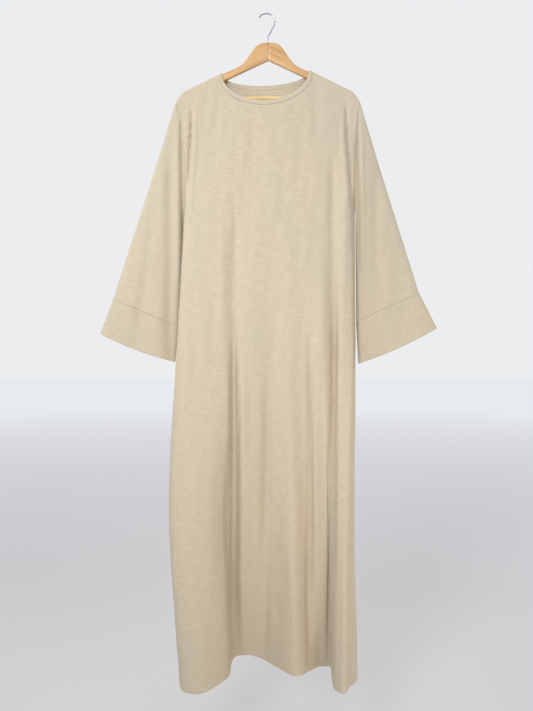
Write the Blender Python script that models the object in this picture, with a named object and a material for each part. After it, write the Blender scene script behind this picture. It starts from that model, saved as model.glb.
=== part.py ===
"""A long plain abaya hanging on a wooden hanger, in metres, +Z up.

X runs to the viewer's right, the front faces -Y, and the origin is the underside of the hook's crown,
where the hanger is held. The body is one closed tube of cloth, cut into a front and a back at the side
seams, and the sleeves, cuffs and neck band start from the points of the edge that they are sewn to.
"""

import math

import bpy
import numpy as np

CLOTH = 0.0015  # one layer of the cloth
CUFF_CLOTH = 0.0028  # double cloth
BAND_CLOTH = 0.0026  # folded strip
SEAM_GAP = 0.0003
HEM_TURN = 0.012  # depth of the turned hem
HEM_STEP = 0.001  # height over which the turned hem's edge rises
SHARP_ANGLE = 50  # faces that meet at more than this keep a crisp edge

# The shoulder bends over the hanger's arm: half its depth, how square it is, and the drops of its rows.
WRAP_DEPTH = 0.0080
WRAP_POWER = 2.3
WRAP_DROPS = (0.0, 0.0005, 0.0020, 0.0045, 0.0080)

NECK_CENTRE = -0.008
NECK_HALF_WIDTH = 0.112
NECK_FRONT_DROP = 0.076
NECK_BACK_DROP = 0.031
NECK_BAND_WIDTH = 0.008
BAND_OUTSETS = (0.0, 0.0006, 0.0040, 0.0080)
BAND_ROUND = (0.45, 1.0, 1.0, 1.0)  # how full the strip is at each, for its folded edge
NECK_STEPS = 14  # columns of cloth along the neck between the two bends over the arms

CHEST = -0.490  # height of the underarm
HIP = -0.940
KNEE = -1.250
HEM = -1.690
CHEST_ROWS = 7
SKIRT_ROWS = 14

# Shoulder line as seen from the front, from the left armhole's top to the right one's.
SHOULDER = (
    # x, z
    (-0.2390, -0.2300),
    (-0.2310, -0.2140),
    (-0.2170, -0.1995),
    (-0.1280, -0.1568),
    (0.0000, -0.0940),
    (0.1200, -0.1528),
    (0.2150, -0.1992),
    (0.2270, -0.2130),
    (0.2350, -0.2265),
)

# The body's plan at four heights, once round: the front from the left side seam to the right one,
# then the back. hem_z is how low the hem hangs there.
BODY_PLAN = (
    # place, chest x, y, hip x, y, knee x, y, hem x, y, hem_z
    ("left side seam", -0.2140, 0.0030, -0.2340, -0.0060, -0.2460, -0.0200, -0.2215, -0.0500, -1.6920),
    ("left edge", -0.2090, -0.0160, -0.2370, -0.0290, -0.2500, -0.0470, -0.2170, -0.0850, -1.6960),
    ("left roll, side", -0.1850, -0.0235, -0.2190, -0.0460, -0.2380, -0.0740, -0.2040, -0.1090, -1.6985),
    ("left roll, front", -0.1520, -0.0262, -0.1760, -0.0520, -0.1960, -0.0860, -0.1680, -0.1190, -1.6990),
    ("left roll, fall", -0.1230, -0.0268, -0.1340, -0.0500, -0.1480, -0.0770, -0.1280, -0.0930, -1.6900),
    ("left fold, lip", -0.1030, -0.0266, -0.1080, -0.0430, -0.1190, -0.0520, -0.0985, -0.0570, -1.6810),
    ("left fold, wall", -0.0860, -0.0266, -0.0910, -0.0370, -0.1060, -0.0250, -0.0960, -0.0100, -1.6720),
    ("left valley", -0.0680, -0.0270, -0.0730, -0.0390, -0.0850, -0.0170, -0.0830, 0.0300, -1.6660),
    ("middle ridge", -0.0400, -0.0278, -0.0430, -0.0430, -0.0510, -0.0290, -0.0470, 0.0380, -1.6660),
    ("middle dip", 0.0020, -0.0280, 0.0020, -0.0400, 0.0030, -0.0230, 0.0130, 0.0020, -1.6780),
    ("centre roll", 0.0450, -0.0278, 0.0520, -0.0450, 0.0590, -0.0440, 0.0660, -0.0440, -1.6870),
    ("right valley", 0.0760, -0.0272, 0.0850, -0.0400, 0.0930, -0.0290, 0.1040, -0.0230, -1.6840),
    ("right ridge", 0.1020, -0.0268, 0.1130, -0.0420, 0.1220, -0.0360, 0.1320, 0.0050, -1.6815),
    ("right floor", 0.1270, -0.0262, 0.1410, -0.0400, 0.1500, -0.0240, 0.1590, 0.0030, -1.6815),
    ("right fold, wall", 0.1520, -0.0256, 0.1680, -0.0340, 0.1640, -0.0430, 0.1600, -0.0470, -1.6900),
    ("right fold, lip", 0.1790, -0.0248, 0.1900, -0.0450, 0.1760, -0.0680, 0.1640, -0.0970, -1.6985),
    ("right roll", 0.2060, -0.0220, 0.2110, -0.0440, 0.1940, -0.0770, 0.1830, -0.1180, -1.6990),
    ("right side seam", 0.2220, 0.0030, 0.2200, -0.0200, 0.2090, -0.0620, 0.1975, -0.0930, -1.6940),
    ("right edge", 0.2180, 0.0130, 0.2230, -0.0020, 0.2170, -0.0340, 0.2185, -0.0640, -1.6900),
    ("right side, back", 0.2040, 0.0200, 0.2160, 0.0140, 0.2160, -0.0040, 0.2240, -0.0230, -1.6850),
    ("back, right turn", 0.1800, 0.0225, 0.1940, 0.0260, 0.1960, 0.0260, 0.2090, 0.0250, -1.6800),
    ("back, right roll", 0.1460, 0.0228, 0.1560, 0.0320, 0.1560, 0.0460, 0.1710, 0.0580, -1.6760),
    ("back, right crest", 0.1080, 0.0226, 0.1140, 0.0330, 0.1120, 0.0500, 0.1230, 0.0720, -1.6730),
    ("back, right dip", 0.0680, 0.0222, 0.0700, 0.0300, 0.0680, 0.0400, 0.0770, 0.0550, -1.6710),
    ("back, middle dip", 0.0260, 0.0222, 0.0260, 0.0300, 0.0260, 0.0400, 0.0320, 0.0550, -1.6700),
    ("back, middle roll", -0.0180, 0.0226, -0.0220, 0.0330, -0.0220, 0.0500, -0.0180, 0.0740, -1.6700),
    ("back, middle fall", -0.0620, 0.0226, -0.0700, 0.0320, -0.0720, 0.0480, -0.0690, 0.0710, -1.6700),
    ("back, left dip", -0.1040, 0.0222, -0.1140, 0.0300, -0.1170, 0.0400, -0.1130, 0.0560, -1.6730),
    ("back, left roll", -0.1440, 0.0222, -0.1580, 0.0310, -0.1630, 0.0450, -0.1550, 0.0650, -1.6770),
    ("back, left turn", -0.1780, 0.0218, -0.1960, 0.0270, -0.2050, 0.0380, -0.1930, 0.0550, -1.6820),
    ("left side, back", -0.2000, 0.0190, -0.2200, 0.0190, -0.2320, 0.0220, -0.2150, 0.0230, -1.6860),
    ("left edge, back", -0.2100, 0.0130, -0.2310, 0.0080, -0.2430, 0.0010, -0.2225, -0.0140, -1.6890),
)
LEVELS = (CHEST, HIP, KNEE, HEM)
LEVEL_COUNT = len(LEVELS)
CHEST_ROW = len(WRAP_DROPS) + CHEST_ROWS - 1  # the underarm's row in the grid of cloth
GHOST = 0.3  # a step past a side seam in the table, which gives the cloth's direction there
NORMAL_STEP = 0.0002
SLOPE_STEP = 0.001
RIGHT_SEAM = 17  # row of the right side seam above
FRONT_NECK = (4, 13)  # rows above that start at the neck's two ends
BACK_NECK = (22, 27)

# Columns of cloth in each stretch of the table: outside the neck, and along it.
FRONT_LEFT_COLUMNS = (2, 2, 2, 2)
FRONT_NECK_COLUMNS = (2, 2, 2, 3, 3, 3, 3, 2, 2)
FRONT_RIGHT_COLUMNS = (2, 2, 2, 2)
BACK_RIGHT_COLUMNS = (1, 2, 2, 2, 2)
BACK_NECK_COLUMNS = (4, 5, 4, 5, 4)
BACK_LEFT_COLUMNS = (2, 2, 2, 2, 1)

# How soon the cloth leaves the shoulder's line on its way to the chest: a power, at the armhole and inside.
ARMHOLE_PULL = 4.0
ARMHOLE_REACH = 0.05
CHEST_POWER_EDGE = 2.6
CHEST_POWER = 0.9
ARMHOLE_GAPE = 0.013  # how far the back stands off at the armhole's middle

# Sleeves: the upper fold's and the under seam's way, from the armhole to the cuff seam and the cuff's edge.
SLEEVES = (
    # name, upper x, z at the cuff seam, under x, z there, upper x, z at the cuff's edge, under x, z there
    ("left", -0.4010, -0.7330, -0.2350, -0.8050, -0.4340, -0.8240, -0.2430, -0.8960),
    ("right", 0.3890, -0.7180, 0.2365, -0.7910, 0.4350, -0.8090, 0.2425, -0.9000),
)
SLEEVE_LEAN = (0.382, 0.924)  # the upper fold's way out and down, as one unit
UNDERARM_TURN = 0.009  # how far the under seam swings off the body just below the underarm
SLEEVE_HALF_DEPTH = 0.013
SLEEVE_BACK = 0.008  # the sleeve's middle lies this far behind the hanger's plane
SLEEVE_EDGE_POWER = 2.5
SLEEVE_STATIONS = (0.0, 0.03, 0.08, 0.16, 0.27, 0.40, 0.54, 0.69, 0.84, 1.0)
SLEEVE_SETTLE = 0.35  # share of the sleeve's length over which the armhole's shape dies away
UNDERARM_FREE = 0.08  # share of it at which the under seam is clear of the body
CUFF_STATIONS = (0.0, 0.35, 0.70, 0.985, 1.0)
CUFF_FOLD_ROUND = 0.5

FOLD_FADE = 0.25  # share of a hollow over which it comes in, and past its end dies away
# Long soft hollows of the sleeves: x at the top and the bottom, z of both, half width and depth.
SLEEVE_FOLDS = (
    # sleeve, face (-1 front), x top, x bottom, z top, z bottom, half width, depth
    ("left", -1, -0.2520, -0.2560, -0.30, -0.84, 0.0130, 0.0070),
    ("left", -1, -0.2900, -0.3300, -0.42, -0.78, 0.0200, 0.0030),
    ("left", 1, -0.2650, -0.2900, -0.36, -0.80, 0.0160, 0.0050),
    ("right", -1, 0.2760, 0.2800, -0.40, -0.70, 0.0140, 0.0050),
    ("right", -1, 0.3050, 0.3500, -0.50, -0.80, 0.0220, 0.0030),
    ("right", 1, 0.2600, 0.2850, -0.34, -0.78, 0.0160, 0.0050),
)

WOOD_HALF = 0.0062
WOOD_TOP_ROUND = 0.0050
WOOD_UNDER_ROUND = 0.0025
WOOD_ROOM = 0.00125  # from the cloth's middle layer down to the wood
WOOD_HALF_JOINT = 0.00015
WOOD_TOP = (
    # x, z
    (0.000, -0.0730),
    (0.014, -0.0738),
    (0.029, -0.0798),
    (0.041, -0.0935),
    (0.053, -0.1115),
    (0.066, -0.1272),
    (0.082, -0.1385),
    (0.100, -0.1465),
)
WOOD_UNDER = (
    # x, z
    (0.000, -0.1195),
    (0.030, -0.1335),
    (0.100, -0.1665),
    (0.160, -0.1960),
    (0.182, -0.2120),
    (0.196, -0.2245),
    (0.207, -0.2240),
    (0.215, -0.2180),
)
WOOD_END = 0.2140
WOOD_END_ROUND = 0.012
FIRST_STRAIGHT = 0.1500
LAST_STRAIGHT = 0.1900  # the arm's top goes on from here to its end with the slope before it
WOOD_LINE = (0.124, FIRST_STRAIGHT, 0.180, WOOD_END)  # places where its top follows the shoulder's line
WOOD_END_ANGLES = (30, 60, 85)  # sections round its end
ARM_CORNER_POINTS = 4
ARM_STATIONS = 16

BAR_RADIUS = 0.0055
BAR_HEIGHT = -0.2170
BAR_HALF_LENGTH = 0.1985
BAR_SIDES = 20

WIRE_RADIUS = 0.00175
HOOK_RADIUS = 0.0222  # to the wire's middle
HOOK_OFFSET = -0.0054  # the round's centre, left of the plumb line
HOOK_TIP_ANGLE = 157
HOOK_LAST_ANGLE = -38
STEM = (
    # x, z
    (0.0070, -0.0440),
    (0.0016, -0.0530),
    (0.0000, -0.0620),
    (0.0000, -0.0700),
    (0.0000, -0.0930),
)
WIRE_SIDES = 10
HOOK_POINTS = 18  # along the round, and twice as many along the whole wire
TIP_SHARE = 0.6  # the wire's cut end is a little rounded
BORE_TOP = -0.05
BORE_SIDES = 24

COLOURS = {
    # colour, roughness, metallic
    "cloth": ((0.66, 0.57, 0.43), 0.85, 0.0),
    "wood": ((0.62, 0.39, 0.17), 0.45, 0.0),
    "bar wood": ((0.80, 0.55, 0.22), 0.45, 0.0),
    "chrome": ((0.75, 0.75, 0.76), 0.15, 1.0),
}


def clear_scene():
    for thing in list(bpy.data.objects):
        bpy.data.objects.remove(thing, do_unlink=True)


def material(name):
    found = bpy.data.materials.get(name)
    if found:
        return found
    colour, roughness, metallic = COLOURS[name]
    made = bpy.data.materials.new(name)
    made.use_nodes = True
    shader = made.node_tree.nodes["Principled BSDF"]
    shader.inputs["Base Color"].default_value = (*colour, 1.0)
    shader.inputs["Roughness"].default_value = roughness
    shader.inputs["Metallic"].default_value = metallic
    return made


def add_mesh(name, points, faces, finish):
    mesh = bpy.data.meshes.new(name)
    mesh.from_pydata(points.tolist(), [], [list(map(int, face)) for face in faces])
    mesh.materials.append(material(finish))
    mesh.shade_smooth()
    mesh.set_sharp_from_angle(angle=math.radians(SHARP_ANGLE))
    piece = bpy.data.objects.new(name, mesh)
    bpy.context.scene.collection.objects.link(piece)
    return piece


def unit(vectors):
    return vectors / np.linalg.norm(vectors, axis=-1, keepdims=True)


def smooth(knots, values, at):
    """A smooth curve through values at rising knots, read at the places in at: cubic pieces whose slope at
    a knot is the mean of its two chords' slopes, weighted by the other chord's length."""
    knots, values, at = np.asarray(knots, float), np.asarray(values, float), np.asarray(at, float)
    step = np.diff(knots)
    shape = (-1,) + (1,) * (values.ndim - 1)
    chord = np.diff(values, axis=0) / step.reshape(shape)
    slope = np.empty_like(values)
    slope[0], slope[-1] = chord[0], chord[-1]
    before, after = step[:-1].reshape(shape), step[1:].reshape(shape)
    slope[1:-1] = (chord[:-1] * after + chord[1:] * before) / (before + after)
    piece = np.clip(np.searchsorted(knots, at, side="right") - 1, 0, len(step) - 1)
    width = step[piece].reshape(shape)
    t = ((at - knots[piece]) / step[piece]).reshape(shape)
    return (
        values[piece] * (1 + 2 * t) * (1 - t) ** 2
        + slope[piece] * width * t * (1 - t) ** 2
        + values[piece + 1] * t * t * (3 - 2 * t)
        + slope[piece + 1] * width * t * t * (t - 1)
    )


def shoulder_height(x):
    knots, heights = zip(*SHOULDER)
    return np.interp(x, knots, heights)


def wrap(drop):
    """How far the cloth stands off the hanger's plane, this far below the shoulder line."""
    left = 1 - np.clip(drop / WRAP_DEPTH, 0, 1)
    return WRAP_DEPTH * (1 - left**WRAP_POWER) ** (1 / WRAP_POWER)


def ring_at(plan):
    """The body's plan through one height's row of points, read at each column of the front and back."""
    closed = np.vstack((plan[-2:], plan, plan[:3]))
    knots = np.concatenate(((0,), np.cumsum(np.linalg.norm(np.diff(closed, axis=0), axis=1) ** 0.5)))
    return lambda places: smooth(knots, closed, np.interp(places + 2, np.arange(len(closed)), knots))


def columns(first, counts):
    """The places of a stretch's columns in the table, from row first on, counts columns to each row."""
    places = [first + i + k / count for i, count in enumerate(counts) for k in range(count)]
    return np.array(places + [first + len(counts)], float)


def neck_angles(drop):
    """Angles round half the neck's ellipse: the steps of the bend over each arm, and even ones between."""
    bend = np.arcsin(np.array(WRAP_DROPS) / drop)
    between = np.linspace(bend[-1], math.pi - bend[-1], NECK_STEPS + 1)[1:-1]
    return np.concatenate((bend, between, math.pi - bend[::-1]))


def neck_curve(drop, outset):
    """x and z along the neck from left to right, outset from its edge."""
    angles = neck_angles(drop)
    half_width = NECK_HALF_WIDTH + outset
    x = NECK_CENTRE - half_width * np.cos(angles)
    ends = shoulder_height(NECK_CENTRE + half_width * np.array((-1, 1)))
    along = (x - x[0]) / (x[-1] - x[0])
    z = ends[0] + (ends[1] - ends[0]) * along - (drop + outset) * np.sin(angles)
    return x, z


def grid_faces(rows, columns, closed):
    """Quads between the rows and columns of a grid whose points are numbered row by row."""
    across = np.arange(columns if closed else columns - 1)
    down = np.arange(rows - 1)[:, None] * columns
    after = (across + 1) % columns
    quads = np.stack((down + across, down + columns + across, down + columns + after, down + after), -1)
    return quads.reshape(-1, 4)


def add_cloth(name, middle, normals, outside, inside, closed=False):
    """A wall of cloth on a grid of points of its middle layer, rows first. outside and inside are its
    thickness on either side, one number or one for each row. closed joins each row into a ring."""
    rows, across = middle.shape[:2]
    outer = middle + normals * np.reshape(outside * np.ones(rows), (-1, 1, 1))
    inner = middle - normals * np.reshape(inside * np.ones(rows), (-1, 1, 1))
    count = rows * across
    faces = grid_faces(rows, across, closed)
    rim = [np.arange(across), np.arange(across)[::-1] + (rows - 1) * across]
    if not closed:
        rim = [
            np.concatenate((
                rim[0],
                np.arange(1, rows) * across + across - 1,
                rim[1][1:],
                np.arange(1, rows - 1)[::-1] * across,
            ))
        ]
    edges = [np.stack((line, np.roll(line, -1), np.roll(line, -1) + count, line + count), -1) for line in rim]
    points = np.concatenate((outer.reshape(-1, 3), inner.reshape(-1, 3)))
    return add_mesh(name, points, np.concatenate([faces, faces[:, ::-1] + count] + edges), "cloth")


def grid_normals(middle, closed=False):
    """Outward normals of a grid: across its rows, then its columns."""
    down = np.gradient(middle, axis=0)
    if closed:
        along = np.roll(middle, -1, axis=1) - np.roll(middle, 1, axis=1)
    else:
        along = np.gradient(middle, axis=1)
    return unit(np.cross(down, along))


def plan_at(places):
    """x, y at the chest, hip and knee, and x, y, z at the hem, at each column's place in the table."""
    numbers = np.array([row[1:] for row in BODY_PLAN])
    levels = [ring_at(numbers[:, 2 * i : 2 * i + 2])(places) for i in range(LEVEL_COUNT - 1)]
    return levels, ring_at(numbers[:, 2 * LEVEL_COUNT - 2 :])(places)


def skirt_points(places, heights):
    """Points of the body's tube below the chest: each column runs through its places at the levels."""
    levels, hem = plan_at(places)
    points = np.empty(heights.shape + (3,))
    for column, line in enumerate(heights.T):
        depths = [-level for level in LEVELS[:-1]] + [-hem[column, 2]]
        through = [level[column] for level in levels] + [hem[column, :2]]
        points[:, column, :2] = smooth(depths, through, -line)
    points[..., 2] = heights
    return points


def stand_off(side, x, heights, edge, chest_y):
    """y above the chest: the bend over the arm gives way to the chest's own place. side: -1 is the front."""
    drop = shoulder_height(x) - heights
    share = np.clip(drop / (shoulder_height(x) - CHEST), 0, 1)
    share = share ** (CHEST_POWER + (CHEST_POWER_EDGE - CHEST_POWER) * edge)
    return side * wrap(drop) * (1 - share) + chest_y * share


def upper_normals(side, x, heights, edge, chest_y):
    """Outward normals of the cloth above the chest, from the slopes of stand_off across and up."""
    slope_x, slope_z = (
        (
            stand_off(side, x + dx, heights + dz, edge, chest_y)
            - stand_off(side, x - dx, heights - dz, edge, chest_y)
        )
        / (2 * NORMAL_STEP)
        for dx, dz in ((NORMAL_STEP, 0.0), (0.0, NORMAL_STEP))
    )
    return unit(side * np.stack((-slope_x, np.ones_like(slope_x), -slope_z), -1))


def row_heights(top, hem):
    """Heights of the rows of cloth from its top to the hem, for each column."""
    bend = top - np.array(WRAP_DROPS)[:, None]
    share = np.arange(1, CHEST_ROWS + 1)[:, None] / CHEST_ROWS
    chest = bend[-1] + (CHEST - bend[-1]) * share
    turn = hem + HEM_TURN + HEM_STEP
    share = np.arange(1, SKIRT_ROWS + 1)[:, None] / SKIRT_ROWS
    skirt = CHEST + (turn - CHEST) * share
    return np.concatenate((bend, chest, skirt, [hem + HEM_TURN, hem]))


def panel(side, stretches, drop):
    """The middle layer of the front (side -1) or back (side 1): grid of points, its normals, and what the
    neck band needs of the columns along the neck."""
    first, neck, last = stretches
    places = np.concatenate((first[:-1], neck, last[1:]))
    start, end = len(first) - 1, len(first) - 1 + len(neck)
    levels, hem = plan_at(places)
    chest = levels[0]
    across = -side  # the front runs towards +X, the back towards -X
    neck_x, neck_z = (line[::across] for line in neck_curve(drop, NECK_BAND_WIDTH + SEAM_GAP))
    ends = (SHOULDER[0][0], SHOULDER[-1][0])[::across]
    top_x = np.empty(len(places))
    top_x[start:end] = neck_x
    top_x[:start] = ends[0] + (neck_x[0] - ends[0]) * (
        (chest[:start, 0] - chest[0, 0]) / (chest[start, 0] - chest[0, 0])
    )
    top_x[end:] = neck_x[-1] + (ends[1] - neck_x[-1]) * (
        (chest[end:, 0] - chest[end - 1, 0]) / (chest[-1, 0] - chest[end - 1, 0])
    )
    top_z = shoulder_height(top_x)
    top_z[start:end] = neck_z
    from_edge = np.minimum(abs(chest[:, 0] - chest[0, 0]), abs(chest[:, 0] - chest[-1, 0]))
    edge = np.exp(-from_edge / ARMHOLE_REACH)
    heights = row_heights(top_z, hem[:, 2])
    upper = heights[: CHEST_ROW + 1]
    fall = (top_z - upper) / (top_z - CHEST)
    x = chest[:, 0] + (top_x - chest[:, 0]) * (1 - fall) ** (1 + (ARMHOLE_PULL - 1) * edge)
    y = stand_off(side, x, upper, edge, chest[:, 1])
    if side > 0:
        y = y + ARMHOLE_GAPE * edge * np.sin(math.pi * fall)
    past = np.array((places[0] - GHOST, places[-1] + GHOST))
    skirt = skirt_points(np.insert(past, 1, places), heights[CHEST_ROW:][:, [0, *range(len(places)), -1]])
    middle = np.concatenate((np.stack((x, y, upper), -1), skirt[1:, 1:-1]))
    above = upper_normals(side, x, upper, edge, chest[:, 1])
    normals = np.concatenate((above, grid_normals(skirt)[1:, 1:-1]))
    return middle, normals, (start, end, edge[start:end], chest[start:end, 1])


def shoulder_normals(x):
    """Normals along the shoulder line, square to its slope."""
    slope = (shoulder_height(x + SLOPE_STEP) - shoulder_height(x - SLOPE_STEP)) / (2 * SLOPE_STEP)
    return unit(np.stack((-slope, np.zeros_like(x), np.ones_like(x)), -1))


def armhole(side, front, back):
    """The armhole's loop of points, its outward normals, and the way from the body into the sleeve.
    side is -1 at the viewer's left. The loop runs down the front and up the back."""
    loop = np.concatenate((front[: CHEST_ROW + 1], back[1:CHEST_ROW][::-1]))
    tangent = unit((np.roll(loop, -1, axis=0) - np.roll(loop, 1, axis=0)) * (0, 1, 1))
    out_y, out_z = tangent[:, 2], -tangent[:, 1]
    out_y[[0, CHEST_ROW]] = 0.0
    out_z[[0, CHEST_ROW]] = 1.0, -1.0
    fold = np.array((side * SLEEVE_LEAN[0], 0.0, -SLEEVE_LEAN[1]))
    upward = np.array((side * SLEEVE_LEAN[1], 0.0, SLEEVE_LEAN[0]))
    rise = np.clip(out_z, 0, 1)[:, None]
    fall = np.clip(-out_z, 0, 1)[:, None]
    normals = unit(out_y[:, None] * (0, 1, 0) + rise * upward + fall * (0, 0, -1))
    outward = unit(rise * fold + (1 - rise) * (side, 0, 0))
    return loop, normals, outward


def sleeve_rings(side, row, loop, stations, cuff_stations):
    """Rings of the sleeve from the armhole down, then of the cuff."""
    upper_seam, under_seam, upper_edge, under_edge = np.array(row[1:]).reshape(4, 2)
    upper = np.array((loop[0, [0, 2]], upper_seam, upper_edge))
    under = np.array((loop[CHEST_ROW, [0, 2]], under_seam, under_edge))
    count = len(loop)
    half = count // 2
    index = np.arange(count)
    along = np.where(index <= half, index, count - index) / half
    face = np.where(index <= half, -1.0, 1.0)
    even = (1 - np.cos(math.pi * along)) / 2
    first = (loop[0, 2] - loop[:, 2]) / (loop[0, 2] - loop[CHEST_ROW, 2])
    rings = []
    for station in np.concatenate((stations, 1 + np.array(cuff_stations))):
        piece = 1 if station > 1 or len(rings) >= len(stations) else 0
        share = station - piece
        a = upper[piece] + (upper[piece + 1] - upper[piece]) * share
        b = under[piece] + (under[piece + 1] - under[piece]) * share
        near = min(station, 1.0)
        b = b + (side * UNDERARM_TURN * min(1.0, near / UNDERARM_FREE) * (1 - near), 0.0)
        settle = 1 - smooth((0, SLEEVE_SETTLE), (1.0, 0.0), [near])[0] if near < SLEEVE_SETTLE else 1.0
        w = first + (even - first) * settle
        place = a + (b - a) * w[:, None]
        depth = SLEEVE_HALF_DEPTH * (1 - abs(2 * w - 1) ** SLEEVE_EDGE_POWER) ** 0.5
        ring = np.stack((place[:, 0], SLEEVE_BACK * settle + face * depth, place[:, 1]), -1)
        if station == 0:
            offset = loop - ring
        rings.append(ring + offset * (1 - settle))
    return np.array(rings), face


def press_folds(name, rings, face):
    """The long soft hollows, pressed into the sleeve's front or back by their distance from each."""
    x, z = rings[..., 0], rings[..., 2]
    for sleeve, side, top_x, bottom_x, top_z, bottom_z, half_width, depth in SLEEVE_FOLDS:
        if sleeve == name:
            share = (z - top_z) / (bottom_z - top_z)
            across = (x - top_x - (bottom_x - top_x) * share) / half_width
            fade = np.clip(np.minimum(share, 1 + FOLD_FADE - share) / FOLD_FADE, 0, 1)
            rings[..., 1] -= np.where(face == side, side * depth, 0.0) * np.exp(-(across**2)) * fade
    return rings


def add_sleeve(side, row, loop, loop_normals, outward):
    """One sleeve and its cuff, from the armhole's loop."""
    name = row[0]
    rings, face = sleeve_rings(side, row, loop, SLEEVE_STATIONS, CUFF_STATIONS)
    rings = press_folds(name, rings, face)
    sleeve, cuff = rings[: len(SLEEVE_STATIONS)], rings[len(SLEEVE_STATIONS) :]
    axis = unit(cuff[-1].mean(axis=0) - cuff[0].mean(axis=0))
    tangent = np.roll(cuff[0], -1, axis=0) - np.roll(cuff[0], 1, axis=0)
    # The loop's direction is mirrored at the right, so its cross products point inwards there.
    sleeve_normals = -side * grid_normals(sleeve, True)
    cuff_normals = -side * grid_normals(cuff, True)
    sleeve_normals[0] = loop_normals
    sleeve_normals[-1] = cuff_normals[0] = -side * unit(np.cross(axis, tangent))
    sleeve[0] += outward * SEAM_GAP / 2
    sleeve[-1] -= axis * SEAM_GAP / 2
    cuff[0] += axis * SEAM_GAP / 2
    way = -side
    add_cloth("sleeve_" + name, sleeve[:, ::way], sleeve_normals[:, ::way], CLOTH / 2, CLOTH / 2, True)
    soft = np.full(len(cuff), CUFF_CLOTH / 2)
    soft[-1] *= CUFF_FOLD_ROUND
    add_cloth("cuff_" + name, cuff[:, ::way], cuff_normals[:, ::way], soft, soft, True)


def sew(side, front, front_normals, back, back_normals):
    """Sets the edges of front and back on one side a seam's gap apart, with the normals that they share,
    and gives the armhole's loop before that."""
    front_edge, back_edge = (0, -1) if side < 0 else (-1, 0)
    loop, normals, outward = armhole(side, front[:, front_edge], back[:, back_edge])
    down = np.arange(CHEST_ROW + 1)
    half = SEAM_GAP / 2
    for face, grid, grid_of_normals, edge, ring in (
        (-1, front, front_normals, front_edge, down),
        (1, back, back_normals, back_edge, -down % len(loop)),
    ):
        inward = grid[CHEST_ROW + 1 :, 1 if edge == 0 else -2] - grid[CHEST_ROW + 1 :, edge]
        grid[CHEST_ROW + 1 :, edge] += unit(inward * (1, 1, 0)) * half
        grid[: CHEST_ROW + 1, edge] -= outward[ring] * half
        grid[CHEST_ROW, edge, 1] += face * half
        grid_of_normals[: CHEST_ROW + 1, edge] = normals[ring]
    return loop, normals, outward


def add_body():
    """Front, back, both sleeves with their cuffs, and the neck band."""
    front_columns = (
        columns(0, FRONT_LEFT_COLUMNS),
        columns(FRONT_NECK[0], FRONT_NECK_COLUMNS),
        columns(FRONT_NECK[1], FRONT_RIGHT_COLUMNS),
    )
    back_columns = (
        columns(RIGHT_SEAM, BACK_RIGHT_COLUMNS),
        columns(BACK_NECK[0], BACK_NECK_COLUMNS),
        columns(BACK_NECK[1], BACK_LEFT_COLUMNS),
    )
    front, front_normals, front_neck = panel(-1, front_columns, NECK_FRONT_DROP)
    back, back_normals, back_neck = panel(1, back_columns, NECK_BACK_DROP)
    loops = [sew(side, front, front_normals, back, back_normals) for side in (-1, 1)]
    for face, grid, normals, neck in (
        (-1, front, front_normals, front_neck),
        (1, back, back_normals, back_neck),
    ):
        for part in (slice(1, neck[0] + 1), slice(neck[1] - 1, -1)):
            normals[0, part] = shoulder_normals(grid[0, part, 0])
        for part in (slice(0, neck[0] + 1), slice(neck[1] - 1, None)):
            grid[0, part, 1] += face * SEAM_GAP / 2
    inside = np.full(len(front), CLOTH / 2)
    inside[-2:] += CLOTH
    add_cloth("front", front, front_normals, CLOTH / 2, inside)
    add_cloth("back", back, back_normals, CLOTH / 2, inside)
    for side, row, loop in zip((-1, 1), SLEEVES, loops):
        add_sleeve(side, row, *loop)
    add_neck_band(front_neck, back_neck)


def add_neck_band(front_neck, back_neck):
    """A narrow folded strip once round the neck, from its edge out to the seam with the panels."""
    rows, normals = [], []
    for outset in BAND_OUTSETS:
        halves = []
        for side, drop, neck in ((-1, NECK_FRONT_DROP, front_neck), (1, NECK_BACK_DROP, back_neck)):
            x, z = (line[::-side] for line in neck_curve(drop, outset))
            y = stand_off(side, x, z, neck[2], neck[3])
            halves.append(np.stack((x, y, z), -1)[:-1])
            normals.append(upper_normals(side, x, z, neck[2], neck[3])[:-1])
        rows.append(np.concatenate(halves))
    middle = np.array(rows)
    normals = np.concatenate(normals).reshape(middle.shape)
    turn = len(front_neck[2]) - 1
    normals[:, [0, turn]] = shoulder_normals(middle[:, [0, turn], 0])
    thin = np.array(BAND_ROUND)
    outside = CLOTH / 2 + (BAND_CLOTH - CLOTH) * thin
    inside = CLOTH / 2 * thin
    add_cloth("neck_band", middle, normals, outside, inside, True)


def arm_section(top, under, scale):
    """Points once round the arm's section, top and under side rounded, shrunk by scale near the end."""
    middle, half_height, half = (top + under) / 2, (top - under) / 2 * scale, WOOD_HALF * scale
    points = []
    for start, rounding, centre_z, sign in (
        (0, WOOD_TOP_ROUND * scale, middle + half_height, 1),
        (180, WOOD_UNDER_ROUND * scale, middle - half_height, -1),
    ):
        for side in (1, -1):
            for step in range(ARM_CORNER_POINTS):
                turn = math.radians(90 * step / (ARM_CORNER_POINTS - 1))
                lean = math.cos(turn) if side > 0 else math.sin(turn)
                rise = math.sin(turn) if side > 0 else math.cos(turn)
                y = side * sign * (half - rounding + rounding * lean)
                points.append((y, centre_z - sign * rounding * (1 - rise)))
    return points


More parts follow.
